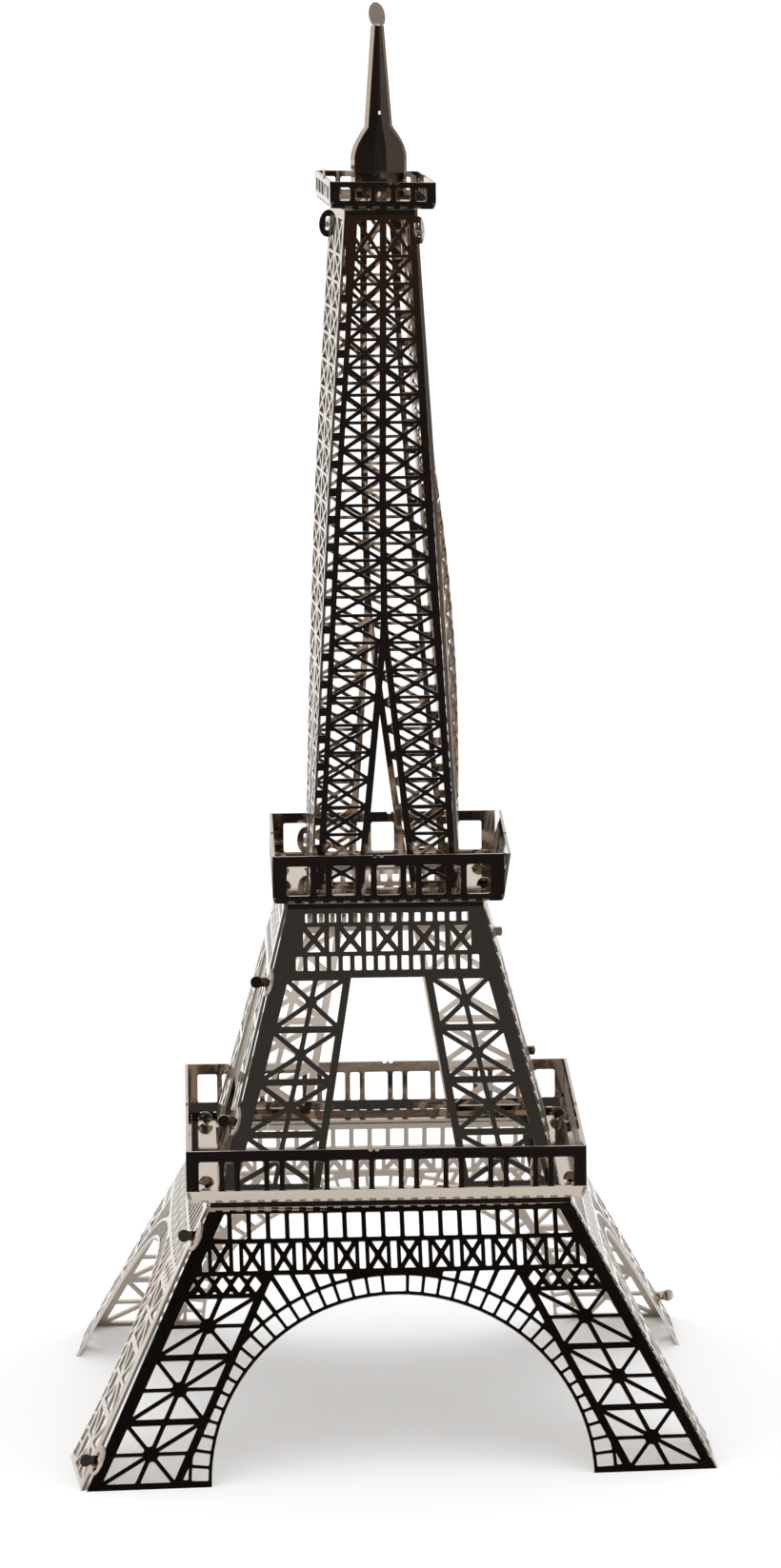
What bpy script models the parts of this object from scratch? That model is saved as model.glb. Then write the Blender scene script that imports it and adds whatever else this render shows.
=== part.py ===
# Miniature lattice tower, a souvenir folded from flat cut steel sheets.
# Three four-sided sections are each made of two folded lattice sheets. Twisted tabs hold
# the sheets together and carry three railed platforms and a bottle-shaped spire.
# Dimensions are in millimetres, and MM turns them into metres. +Z is up and -Y is the front.

import math

import bmesh
import bpy
from mathutils import Matrix, Vector

MM = 0.001
WELD = 0.001

# Sheet and fits
SHEET = 0.3
CLEARANCE = 0.3

# Heights of the platform floors and of the top of the head, above the ground
FIRST_FLOOR = 25.1
SECOND_FLOOR = 53.1
TOP_FLOOR = 120.5
TIP = 140.0

# Half widths over the outer faces of the sections, and how far a section stands back
# from the top of the one below it
LOWER_FOOT_HALF = 30.7
LOWER_TOP_HALF = 17.9
MIDDLE_SETBACK = 1.1
MIDDLE_TOP_HALF = 9.9
UPPER_SETBACK = 2.5
UPPER_TOP_HALF = 3.6
FLANGE = 0.5

# Lower lattice, from the top row down to the feet
TALL_ROW = 2.6
TALL_CELLS = 9
CROSS_ROW = 2.8
CROSS_CELLS = 9
SMALL_ROW = 1.7
ROW_BAR = 0.4
FOOT_BAR = 0.6
LOWER_CHORD = 1.1
LOWER_BAYS = 3
BRACE = 0.4
RING_DEPTH = 1.5
RING_BAR = 0.3
RING_CELLS = 7
INNER_CHORD = 0.7
INNER_LEAN = 0.49
SPANDREL_CELLS = 5
SPANDREL_START = 4.5

# Middle lattice
MIDDLE_TOP_ROW = 0.9
MIDDLE_TOP_CELLS = 6
MIDDLE_CROSS_ROW = 2.6
MIDDLE_CROSS_CELLS = 5
MIDDLE_LOW_ROW = 1.4
MIDDLE_LOW_CELLS = 6
MIDDLE_CHORD = 1.6
MIDDLE_BAYS = 4
MIDDLE_GATE_TOP = 3.6
MIDDLE_GATE_FOOT = 7.0
MIDDLE_INNER = 0.7

# Upper lattice
UPPER_CHORD = 0.6
UPPER_CENTRE = 0.6
UPPER_BAYS = 9
UPPER_BAR = 0.35
UPPER_BRACE = 0.3
UPPER_GATE_FOOT = 2.3
UPPER_GATE_RISE = 22.0

# Ears and tabs at the open corners, by height above the foot or below the top of a section
EAR_HEIGHT = 3.0
EAR_RIM = 0.7
TAB = 1.2
TAB_HEAD = 0.9
TAB_TWIST = 60.0
TAB_NARROWING = 0.6
LOWER_EAR_RISE = 2.7
LOWER_EAR_DROP = 2.4
MIDDLE_EAR_RISE = 6.6
MIDDLE_EAR_DROP = 6.9
UPPER_EAR_RISE = 2.2
UPPER_EAR_DROP = 2.1

# Tabs through the floors, by their distance from the middle of a panel
LOWER_TOP_TAB = 14.0
MIDDLE_FOOT_TAB = 11.5
MIDDLE_TOP_TAB = 6.5
UPPER_FOOT_TAB = 4.6
UPPER_TOP_TAB = 0.0

# Platforms: each overhangs the section below it, and leaves a ledge inside the one above
FIRST_OVERHANG = 1.6
FIRST_WALL = 5.2
FIRST_LEDGE = 2.4
FIRST_WINDOWS = 9
SECOND_OVERHANG = 1.55
SECOND_WALL = 4.7
SECOND_LEDGE = 2.2
SECOND_WINDOWS = 5
TOP_OVERHANG = 1.6
TOP_WALL = 2.6
TOP_WINDOWS = 5
CORNER_GAP = 0.1
WINDOW_BAR = 1.0
SILL = 1.1
LINTEL = 1.0
TOP_SILL = 0.7
TOP_LINTEL = 0.55
TOP_WINDOW_BAR = 0.5

# Spire: half widths and heights along its side, its place in front of the tower's axis,
# and the rim that is bent back all along its side
SPIRE_FOOT_HALF = 2.75
SPIRE_BULGE_HALF = 2.82
SPIRE_BULGE_RISE = 3.7
SPIRE_NECK_HALF = 1.4
SPIRE_NECK_RISE = 6.9
SPIRE_TOP_HALF = 0.65
SPIRE_FORWARD = 0.4
SPIRE_RIM = 0.45
SPIRE_RIM_BEND = 60.0
HEAD_WIDTH = 1.6
HEAD_HEIGHT = 2.2
HEAD_TILT = 30.0

SEAM_GAP = SHEET + CLEARANCE
MIDDLE_FOOT_HALF = LOWER_TOP_HALF - MIDDLE_SETBACK
UPPER_FOOT_HALF = MIDDLE_TOP_HALF - UPPER_SETBACK
STEEL = (0.62, 0.6, 0.57, 1.0)


def clear_scene():
    for obj in list(bpy.data.objects):
        bpy.data.objects.remove(obj, do_unlink=True)


def new_collection(name):
    group = bpy.data.collections.new(name)
    bpy.context.scene.collection.children.link(group)
    return group


def steel(name, roughness):
    material = bpy.data.materials.new(name)
    material.use_nodes = True
    shader = material.node_tree.nodes["Principled BSDF"]
    shader.inputs["Base Color"].default_value = STEEL
    shader.inputs["Metallic"].default_value = 1.0
    shader.inputs["Roughness"].default_value = roughness
    return material


# Flat outlines are lists of (across, along) points, anticlockwise

def line_meet(a, b, c, d):
    """Where the line through a and b crosses the line through c and d."""
    along = (b[0] - a[0], b[1] - a[1])
    other = (d[0] - c[0], d[1] - c[1])
    turn = along[0] * other[1] - along[1] * other[0]
    share = ((c[0] - a[0]) * other[1] - (c[1] - a[1]) * other[0]) / turn
    return (a[0] + share * along[0], a[1] + share * along[1])


def inset(outline, steps):
    """Move each side of an outline inwards by its own step."""
    sides = []
    for i, start in enumerate(outline):
        end = outline[(i + 1) % len(outline)]
        length = math.dist(start, end)
        inward = (-(end[1] - start[1]) / length, (end[0] - start[0]) / length)
        shift = (inward[0] * steps[i], inward[1] * steps[i])
        sides.append(((start[0] + shift[0], start[1] + shift[1]),
                      (end[0] + shift[0], end[1] + shift[1])))
    return [line_meet(*sides[i - 1], *sides[i]) for i in range(len(sides))]


def clip(outline, start, end):
    """Keep the part of an outline that lies left of the line from start to end."""
    def side(p):
        return (end[0] - start[0]) * (p[1] - start[1]) - (end[1] - start[1]) * (p[0] - start[0])

    kept = []
    for i, point in enumerate(outline):
        before = outline[i - 1]
        if (side(before) > 0) != (side(point) > 0):
            kept.append(line_meet(before, point, start, end))
        if side(point) > 0:
            kept.append(point)
    return kept


def mirrored(outlines):
    return [[(-x, y) for x, y in reversed(outline)] for outline in outlines]


def crossed(bay, bar):
    """Four triangles between the two diagonal bars of a four-cornered bay."""
    centre = line_meet(bay[0], bay[2], bay[1], bay[3])
    cells = []
    for i in range(4):
        triangle = [bay[i], bay[(i + 1) % 4], centre]
        cells.append(inset(triangle, (0.0, bar / 2, bar / 2)))
    return cells


def cell_row(low, high, half_low, half_high, count, bar):
    """A row of equal cells between two slanted ends, parted by upright bars."""
    cells = []
    pitch = 2 * half_low / count
    ends = [(half_low, low), (half_high, high), (-half_high, high), (-half_low, low)]
    for i in range(count):
        left = -half_low + i * pitch + (bar / 2 if i else 0.0)
        right = -half_low + (i + 1) * pitch - (bar / 2 if i < count - 1 else 0.0)
        cell = [(left, low), (right, low), (right, high), (left, high)]
        cell = clip(cell, ends[0], ends[1])
        cells.append(clip(cell, ends[2], ends[3]))
    return cells


class Section:
    """One storey: a tapering square of four panels, each half covering its own slope."""

    def __init__(self, foot, top, foot_half, top_half):
        self.foot = foot
        self.top = top
        self.rise = top - foot
        self.foot_half = foot_half
        self.top_half = top_half
        self.length = math.hypot(self.rise, foot_half - top_half)

    def half(self, along):
        """Half width of the square at a distance along the slope."""
        return self.foot_half + (self.top_half - self.foot_half) * along / self.length

    def clear_half(self, along):
        """Half width of a panel, which stops short of its open corner."""
        return self.half(along) - SEAM_GAP / 2

    def height(self, along):
        return self.foot + self.rise * along / self.length

    def along(self, height):
        return (height - self.foot) * self.length / self.rise

    def front(self, point):
        x, along = point
        return Vector((x, -self.half(along), self.height(along))) * MM

    def side(self, point):
        y, along = point
        return Vector((self.half(along), y, self.height(along))) * MM


def section_top(floor):
    return floor - CLEARANCE - FLANGE


LOWER = Section(0.0, section_top(FIRST_FLOOR), LOWER_FOOT_HALF, LOWER_TOP_HALF)
MIDDLE = Section(FIRST_FLOOR + SHEET + CLEARANCE, section_top(SECOND_FLOOR),
                 MIDDLE_FOOT_HALF, MIDDLE_TOP_HALF)
UPPER = Section(SECOND_FLOOR + SHEET + CLEARANCE, section_top(TOP_FLOOR),
                UPPER_FOOT_HALF, UPPER_TOP_HALF)


def lower_levels():
    """Distances along the slope to the underside of each row of the lower lattice."""
    tall = LOWER.length - ROW_BAR - TALL_ROW
    cross = tall - ROW_BAR - CROSS_ROW
    small = cross - ROW_BAR - SMALL_ROW
    return tall, cross, small


def ring_radii():
    """Inner and outer radius of the arch ring, whose crown meets the row above it."""
    outer = lower_levels()[1] - ROW_BAR
    return outer - RING_DEPTH - 2 * RING_BAR, outer


def inner_chord(along):
    """Inner edge of a leg's lattice: a slanted line that clears the arch ring."""
    return ring_radii()[1] * math.hypot(1.0, INNER_LEAN) - INNER_LEAN * along


def polar(radius, angle):
    return (radius * math.sin(angle), radius * math.cos(angle))


def chord_line():
    """Two points on the edge where a leg's inner chord ends and the arch begins."""
    return [(inner_chord(along) - INNER_CHORD, along) for along in (0.0, LOWER.length)]


def sector(low, high, start, end):
    """A four-sided piece of a ring about the middle of the arch."""
    return [polar(low, end), polar(high, end), polar(high, start), polar(low, start)]


def ring_cells(inner, outer):
    """Right half of the arch ring, from the crown down to the foot, with the crown cell."""
    low = inner + RING_BAR
    high = outer - RING_BAR
    last = math.acos(FOOT_BAR / low)
    half_crown = RING_DEPTH / outer
    step = (last - half_crown) / RING_CELLS
    gap = RING_BAR / outer
    cells = []
    for i in range(RING_CELLS):
        end = half_crown + (i + 1) * step
        cells.append(clip(sector(low, high, end - step + gap, end), *chord_line()))
    return cells, sector(low, high, -half_crown, half_crown)


def spandrel_cells(outer):
    """Cells between the arch ring, the leg and the row above, and one between ring and foot."""
    ceiling = lower_levels()[1] - ROW_BAR
    lean = math.hypot(1.0, INNER_LEAN)
    touch = math.acos((outer - INNER_CHORD / lean) / outer)
    tangent = math.atan2(1.0, INNER_LEAN)
    first = SPANDREL_START / outer
    step = (tangent - touch - first) / SPANDREL_CELLS
    gap = BRACE / outer
    far = math.hypot(ceiling, ceiling)
    cells = []
    for i in range(SPANDREL_CELLS):
        start = first + i * step + gap
        cell = clip(sector(outer, far, start, start + step - gap), *chord_line())
        cells.append(clip(cell, (ceiling, ceiling), (0.0, ceiling)))
    foot = sector(outer, far, tangent + touch + gap, math.pi / 2)
    foot = clip(foot, *chord_line())
    cells.append(clip(foot, (0.0, FOOT_BAR), (outer, FOOT_BAR)))
    return cells


def lower_lattice():
    tall, cross, small = lower_levels()

    def outer_edge(along):
        return LOWER.clear_half(along) - LOWER_CHORD

    cells = cell_row(tall, tall + TALL_ROW, outer_edge(tall), outer_edge(tall + TALL_ROW),
                     TALL_CELLS, ROW_BAR)
    cells += cell_row(cross, cross + CROSS_ROW, outer_edge(cross),
                      outer_edge(cross + CROSS_ROW), CROSS_CELLS, ROW_BAR)
    inner, outer = ring_radii()
    leg = []
    bay = (small - ROW_BAR - FOOT_BAR) / LOWER_BAYS
    for i in range(LOWER_BAYS):
        low = FOOT_BAR + i * bay
        high = low + bay - ROW_BAR
        leg += crossed([(inner_chord(low), low), (outer_edge(low), low),
                        (outer_edge(high), high), (inner_chord(high), high)], BRACE)
    top = small + SMALL_ROW
    leg.append([(inner_chord(small), small), (outer_edge(small), small),
                (outer_edge(top), top), (inner_chord(top), top)])
    ring, crown = ring_cells(inner, outer)
    leg += ring + spandrel_cells(outer)
    return cells + [crown] + leg + mirrored(leg)


def lower_gate():
    """The arch between the legs, from the left foot over the crown to the right foot."""
    inner = ring_radii()[0]
    count = 2 * RING_CELLS
    return [polar(inner, math.pi * (i / count - 0.5)) for i in range(count + 1)]


def middle_gate_top():
    rows = MIDDLE_TOP_ROW + MIDDLE_CROSS_ROW + MIDDLE_LOW_ROW
    return MIDDLE.length - rows - 4 * ROW_BAR


def middle_gate_half(along):
    share = along / middle_gate_top()
    return MIDDLE_GATE_FOOT + (MIDDLE_GATE_TOP - MIDDLE_GATE_FOOT) * share


def middle_lattice():
    def outer_edge(along):
        return MIDDLE.clear_half(along) - MIDDLE_CHORD

    cells = []
    low = MIDDLE.length - ROW_BAR
    for height, count in ((MIDDLE_TOP_ROW, MIDDLE_TOP_CELLS), (MIDDLE_CROSS_ROW, MIDDLE_CROSS_CELLS),
                          (MIDDLE_LOW_ROW, MIDDLE_LOW_CELLS)):
        low -= height
        cells += cell_row(low, low + height, outer_edge(low), outer_edge(low + height),
                          count, ROW_BAR)
        low -= ROW_BAR
    leg = []
    bay = (middle_gate_top() - FOOT_BAR) / MIDDLE_BAYS
    for i in range(MIDDLE_BAYS):
        low = FOOT_BAR + i * bay
        high = low + bay - ROW_BAR
        leg += crossed([(middle_gate_half(low) + MIDDLE_INNER, low), (outer_edge(low), low),
                        (outer_edge(high), high), (middle_gate_half(high) + MIDDLE_INNER, high)],
                       BRACE)
    return cells + leg + mirrored(leg)


def middle_gate():
    top = middle_gate_top()
    right = [(MIDDLE_GATE_TOP, top), (MIDDLE_GATE_FOOT, 0.0)]
    return [(-MIDDLE_GATE_FOOT, 0.0), (-MIDDLE_GATE_TOP, top)] + right


def upper_lattice():
    def outer_edge(along):
        return UPPER.clear_half(along) - UPPER_CHORD

    def inner_edge(along):
        gate = UPPER_GATE_FOOT * (1.0 - along / UPPER_GATE_RISE)
        return max(UPPER_CENTRE / 2, gate + UPPER_CENTRE)

    leg = []
    bay = (UPPER.length - FOOT_BAR) / UPPER_BAYS
    for i in range(UPPER_BAYS):
        low = FOOT_BAR + i * bay
        high = low + bay - UPPER_BAR
        leg += crossed([(inner_edge(low), low), (outer_edge(low), low),
                        (outer_edge(high), high), (inner_edge(high), high)], UPPER_BRACE)
    return leg + mirrored(leg)


def upper_gate():
    return [(-UPPER_GATE_FOOT, 0.0), (0.0, UPPER_GATE_RISE), (UPPER_GATE_FOOT, 0.0)]


def flat_sheet(outlines):
    """A flat sheet filled between its outlines, as a mesh in millimetres."""
    curve = bpy.data.curves.new("flat_sheet", "CURVE")
    curve.dimensions = "2D"
    curve.fill_mode = "BOTH"
    for outline in outlines:
        spline = curve.splines.new("POLY")
        spline.points.add(len(outline) - 1)
        for point, (x, y) in zip(spline.points, outline):
            point.co = (x, y, 0.0, 1.0)
        spline.use_cyclic_u = True
    holder = bpy.data.objects.new("flat_sheet", curve)
    bpy.context.scene.collection.objects.link(holder)
    view = bpy.context.evaluated_depsgraph_get()
    mesh = bpy.data.meshes.new_from_object(holder.evaluated_get(view))
    bpy.data.objects.remove(holder, do_unlink=True)
    bpy.data.curves.remove(curve)
    return mesh


def add_panel(bm, outlines, place):
    """Lay a flat sheet into a mesh, with each flat point put in its place."""
    mesh = flat_sheet(outlines)
    part = bmesh.new()
    part.from_mesh(mesh)
    bmesh.ops.remove_doubles(part, verts=part.verts, dist=WELD)
    bmesh.ops.beautify_fill(part, faces=part.faces, edges=part.edges)
    for vert in part.verts:
        vert.co = place((vert.co.x, vert.co.y))
    part.to_mesh(mesh)
    part.free()
    bm.from_mesh(mesh)
    bpy.data.meshes.remove(mesh)


def edge_between(bm, a, b):
    """The edge of a mesh that joins two places."""
    middle = (a + b) / 2
    return min(bm.edges, key=lambda e: ((e.verts[0].co + e.verts[1].co) / 2 - middle).length)


def grow_tab(bm, base, way, lengths):
    """Draw a tab out of an edge: a straight neck, then a head that twists and narrows."""
    edge = edge_between(bm, *base)
    twist = math.radians(TAB_TWIST) / 2
    turns = (0.0, twist, twist)
    widths = (1.0, 1.0, TAB_NARROWING)
    for length, turn, width in zip(lengths, turns, widths):
        grown = bmesh.ops.extrude_edge_only(bm, edges=[edge])["geom"]
        verts = [g for g in grown if isinstance(g, bmesh.types.BMVert)]
        edge = next(g for g in grown if isinstance(g, bmesh.types.BMEdge)
                    and g.verts[0] in verts and g.verts[1] in verts)
        bmesh.ops.translate(bm, verts=verts, vec=way * length * MM)
        centre = (verts[0].co + verts[1].co) / 2
        spin = Matrix.Rotation(turn, 4, way)
        for vert in verts:
            vert.co = centre + spin @ (vert.co - centre) * width


def corner_tabs(section, heights):
    """Edges down the open side of a front panel that its corner tabs grow from."""
    tabs = []
    for height in sorted(heights, reverse=True):
        middle = section.along(height)
        ends = (middle + TAB / 2, middle - TAB / 2)
        tabs.append([(SEAM_GAP - section.half(end), end) for end in ends])
    return tabs


def ear(section, height):
    """Outline of a corner ear on the open side of a side panel, from bottom to top, and its slot."""
    middle = section.along(height)

    def beside(out, along):
        return (section.half(along) + out, along)

    rise = EAR_HEIGHT / 2
    reach = CLEARANCE + EAR_RIM
    bend = rise - EAR_RIM
    outline = [beside(-SEAM_GAP, middle - rise), beside(reach - EAR_RIM, middle - rise),
               beside(reach, middle - bend), beside(reach, middle + bend),
               beside(reach - EAR_RIM, middle + rise), beside(-SEAM_GAP, middle + rise)]
    low = middle - TAB / 2 - CLEARANCE
    high = middle + TAB / 2 + CLEARANCE
    wall = -SEAM_GAP
    slot = [beside(wall, low), beside(CLEARANCE, low), beside(CLEARANCE, high), beside(wall, high)]
    return outline, slot


def edge_marks(middles):
    """Points on a straight edge where the tabs at the given middles start and end."""
    marks = []
    for middle in sorted(middles):
        marks += [middle - TAB / 2, middle + TAB / 2]
    return marks


def front_outlines(section, lattice, gate, tabs, foot_tabs):
    """Outline of a front panel, with the points that its tabs grow from."""
    shift = SEAM_GAP / 2
    top = section.length
    marks = edge_marks(foot_tabs)
    left_feet = [(x, 0.0) for x in marks if x < 0]
    right_feet = [(x, 0.0) for x in marks if x > 0]
    outline = [(section.half(0.0), 0.0), (section.half(top), top)]
    outline.append((SEAM_GAP - section.half(top), top))
    for tab in tabs:
        outline += tab
    outline.append((SEAM_GAP - section.half(0.0), 0.0))
    outline += left_feet + [(x + shift, y) for x, y in gate] + right_feet
    return [outline] + [[(x + shift, y) for x, y in cell] for cell in lattice]


def side_outlines(section, lattice, gate, ears, top_tabs):
    """Outline of a side panel, with its corner ears, its gate and its lattice."""
    shift = -SEAM_GAP / 2
    top = section.length
    outline = [(-section.half(0.0), 0.0)] + [(x + shift, y) for x, y in gate]
    outline.append((section.half(0.0) - SEAM_GAP, 0.0))
    slots = []
    for height in sorted(ears):
        rim, slot = ear(section, height)
        outline += rim
        slots.append(slot)
    outline.append((section.half(top) - SEAM_GAP, top))
    outline += [(x, top) for x in reversed(edge_marks(top_tabs))]
    outline.append((-section.half(top), top))
    holes = [[(x + shift, y) for x, y in cell] for cell in lattice]
    return [outline] + holes + slots


def folded_sheet(section, lattice, gate, ears, foot_tabs, top_tabs):
    """Front and right panel of a section as one sheet, folded along their shared corner."""
    bm = bmesh.new()
    tabs = corner_tabs(section, ears)
    add_panel(bm, front_outlines(section, lattice, gate, tabs, foot_tabs), section.front)
    add_panel(bm, side_outlines(section, lattice, gate, ears, top_tabs), section.side)
    bmesh.ops.remove_doubles(bm, verts=bm.verts, dist=WELD * MM)
    bmesh.ops.recalc_face_normals(bm, faces=bm.faces)

    top = section.height(section.length) * MM
    rim = [e for e in bm.edges if all(abs(v.co.z - top) < WELD * MM for v in e.verts)]
    raised = bmesh.ops.extrude_edge_only(bm, edges=rim)["geom"]
    bmesh.ops.translate(bm, verts=[g for g in raised if isinstance(g, bmesh.types.BMVert)],
                        vec=Vector((0.0, 0.0, FLANGE * MM)))

    through_ear = SEAM_GAP + CLEARANCE
    through_floor = SHEET + 2 * CLEARANCE
    head = (TAB_HEAD / 2, TAB_HEAD / 2)
    for tab in tabs:
        grow_tab(bm, [section.front(end) for end in tab], Vector((-1, 0, 0)), (through_ear, *head))
    lift = Vector((0.0, 0.0, FLANGE * MM))
    for middle in top_tabs:
        ends = [(middle - TAB / 2, section.length), (middle + TAB / 2, section.length)]
        grow_tab(bm, [section.side(end) + lift for end in ends], Vector((0, 0, 1)),
                 (through_floor, *head))
    for middle in foot_tabs:
        ends = [(middle - TAB / 2, 0.0), (middle + TAB / 2, 0.0)]
        grow_tab(bm, [section.front(end) for end in ends], Vector((0, 0, -1)),
                 (through_floor, *head))
    return bm


def thickened(bm, name):
    """Give an open sheet its thickness, inwards from its outer face, as a closed mesh."""
    mesh = bpy.data.meshes.new(name)
    bm.to_mesh(mesh)
    bm.free()
    holder = bpy.data.objects.new(name, mesh)
    bpy.context.scene.collection.objects.link(holder)
    wall = holder.modifiers.new("sheet", "SOLIDIFY")
    wall.thickness = SHEET * MM
    wall.offset = -1.0
    wall.use_even_offset = True
    wall.use_quality_normals = True
    view = bpy.context.evaluated_depsgraph_get()
    solid = bpy.data.meshes.new_from_object(holder.evaluated_get(view))
    bpy.data.objects.remove(holder, do_unlink=True)
    bpy.data.meshes.remove(mesh)
    return solid


def cut_level(mesh):
    """Cut the feet level with the ground, so that they stand on flat strips."""
    bm = bmesh.new()
    bm.from_mesh(mesh)
    bmesh.ops.bisect_plane(bm, geom=bm.verts[:] + bm.edges[:] + bm.faces[:], dist=WELD * MM,
                           plane_co=(0, 0, 0), plane_no=(0, 0, 1), clear_inner=True)
    bmesh.ops.holes_fill(bm, edges=[e for e in bm.edges if e.is_boundary])
    bmesh.ops.recalc_face_normals(bm, faces=bm.faces)
    bm.to_mesh(mesh)
    bm.free()


def add_section(group, name, mesh, corners, roughness):
    """Two like sheets, each folded at its own corner of the tower."""
    for end, turn in corners.items():
        sheet = bpy.data.objects.new(f"{name}_{end}", mesh)
        sheet.rotation_euler.z = turn
        group.objects.link(sheet)
    mesh.materials.append(steel(f"{name}_steel", roughness))


def slot_beside(x, y, across):
    """Slot in a floor for an upright tab whose outer face is at (x, y), facing along x or y."""
    long_half = TAB / 2 + CLEARANCE
    if across == "x":
        near, far = sorted((x + math.copysign(CLEARANCE, x), x - math.copysign(SEAM_GAP, x)))
        return [(near, y - long_half), (far, y - long_half), (far, y + long_half), (near, y + long_half)]
    near, far = sorted((y + math.copysign(CLEARANCE, y), y - math.copysign(SEAM_GAP, y)))
    return [(x - long_half, near), (x + long_half, near), (x + long_half, far), (x - long_half, far)]


def top_tab_slots(section, tabs):
    """Floor slots for the tabs on top of the right and left panels of a section."""
    slots = []
    for middle in tabs:
        slots += [slot_beside(section.top_half, middle, "x"),
                  slot_beside(-section.top_half, -middle, "x")]
    return slots


def foot_tab_slots(section, tabs):
    """Floor slots for the tabs under the front and back panels of a section."""
    slots = []
    for middle in tabs:
        slots += [slot_beside(middle, -section.foot_half, "y"),
                  slot_beside(-middle, section.foot_half, "y")]
    return slots


def quarter_turned(outlines):
    """Floor slots of a section that stands a quarter turn from the ones below it."""
    return [[(y, -x) for x, y in outline] for outline in outlines]


def tray(floor, half, wall, hole_half, slots, windows, bar, sill, lintel):
    """A floor with four railed walls folded up from its edges."""
    bm = bmesh.new()
    run = half - SHEET - CORNER_GAP
    outline = [(run, -half), (half, -run), (half, run), (run, half),
               (-run, half), (-half, run), (-half, -run), (-run, -half)]
    outlines = [outline] + slots
    if hole_half:
        outlines.append([(-hole_half, -hole_half), (hole_half, -hole_half),
                         (hole_half, hole_half), (-hole_half, hole_half)])
    add_panel(bm, outlines, lambda p: Vector((p[0], p[1], floor)) * MM)

    rail = [[(-run, 0.0), (run, 0.0), (run, wall), (-run, wall)]]
    end = run - bar
    rail += cell_row(sill, wall - lintel, end, end, windows, bar)
    for quarter in range(4):
        turn = Matrix.Rotation(quarter * math.pi / 2, 3, "Z")
        add_panel(bm, rail, lambda p: turn @ Vector((p[0], -half, floor + p[1])) * MM)
    bmesh.ops.remove_doubles(bm, verts=bm.verts, dist=WELD * MM)
    bmesh.ops.recalc_face_normals(bm, faces=bm.faces)
    return bm


def add_sheet(group, name, bm, roughness):
    mesh = thickened(bm, name)
    mesh.materials.append(steel(f"{name}_steel", roughness))
    group.objects.link(bpy.data.objects.new(name, mesh))


def spire_side():
    """Half width and height along the side of the spire, from its foot to the top of its neck."""
    foot = TOP_FLOOR + SHEET + CLEARANCE
    points = [(SPIRE_FOOT_HALF, foot)]
    rounds = 5
    for i in range(rounds + 1):
        share = i / rounds
        swell = (SPIRE_BULGE_HALF - SPIRE_NECK_HALF) * math.cos(math.pi / 2 * share)
        rise = SPIRE_BULGE_RISE + (SPIRE_NECK_RISE - SPIRE_BULGE_RISE) * share
        points.append((SPIRE_NECK_HALF + swell, foot + rise))
    points.append((SPIRE_TOP_HALF, TIP - HEAD_HEIGHT))
    return points


def spire_flat(half):
    """Half width of the flat front between the bent rims."""
    return half - SPIRE_RIM * math.cos(math.radians(SPIRE_RIM_BEND))


def tab_share():
    """Share of the spire's flat front that its foot tab takes."""
    return TAB / 2 / spire_flat(SPIRE_FOOT_HALF)


def spire_row(half, height):
    """Points across the spire's sheet: a flat front, parted at the tab, between bent rims."""
    flat = spire_flat(half)
    depth = SPIRE_RIM * math.sin(math.radians(SPIRE_RIM_BEND))
    right = [(flat * tab_share(), 0.0), (flat, 0.0), (half, depth)]
    left = [(-x, y) for x, y in reversed(right)]
    return [Vector((x, y - SPIRE_FORWARD, height)) * MM for x, y in left + right]


def draw_row(bm, edges, places):
    """Draw the next row of a sheet out of a row of edges, and give back the new edges in order."""
    grown = bmesh.ops.extrude_edge_only(bm, edges=edges)["geom"]
    verts = [g for g in grown if isinstance(g, bmesh.types.BMVert)]
    for vert, place in zip(sorted(verts, key=lambda v: v.co.x), places):
        vert.co = place
    row = [g for g in grown if isinstance(g, bmesh.types.BMEdge) and all(v in verts for v in g.verts)]
    return sorted(row, key=lambda e: e.verts[0].co.x + e.verts[1].co.x)


def add_spire(group, roughness):
    """A bottle-shaped sheet with bent rims, a head that leans back and a tab under its foot."""
    side = spire_side()
    bm = bmesh.new()
    foot_row = [bm.verts.new(place) for place in spire_row(*side[0])]
    row = [bm.edges.new(pair) for pair in zip(foot_row, foot_row[1:])]
    for half, height in side[1:]:
        row = draw_row(bm, row, spire_row(half, height))

    row = row[1:-1]
    neck_top = TIP - HEAD_HEIGHT
    lean = math.tan(math.radians(HEAD_TILT))
    steps = 6
    for i in range(1, steps + 1):
        rise = HEAD_HEIGHT * i / steps
        half = HEAD_WIDTH / 2 * math.sin(math.pi * i / (steps + 0.5))
        middle = half * tab_share()
        row = draw_row(bm, row, [Vector((x, lean * rise - SPIRE_FORWARD, neck_top + rise)) * MM
                                 for x in (-half, -middle, middle, half)])

    foot = side[0][1]
    base = [Vector((x, -SPIRE_FORWARD, foot)) * MM for x in (-TAB / 2, TAB / 2)]
    grow_tab(bm, base, Vector((0, 0, -1)), (SHEET + 2 * CLEARANCE, TAB_HEAD / 2, TAB_HEAD / 2))
    bmesh.ops.recalc_face_normals(bm, faces=bm.faces)
    if sum(face.normal.y * face.calc_area() for face in bm.faces) > 0:
        bmesh.ops.reverse_faces(bm, faces=bm.faces)
    add_sheet(group, "spire", bm, roughness)


clear_scene()
tower = new_collection("lattice_tower")

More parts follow.
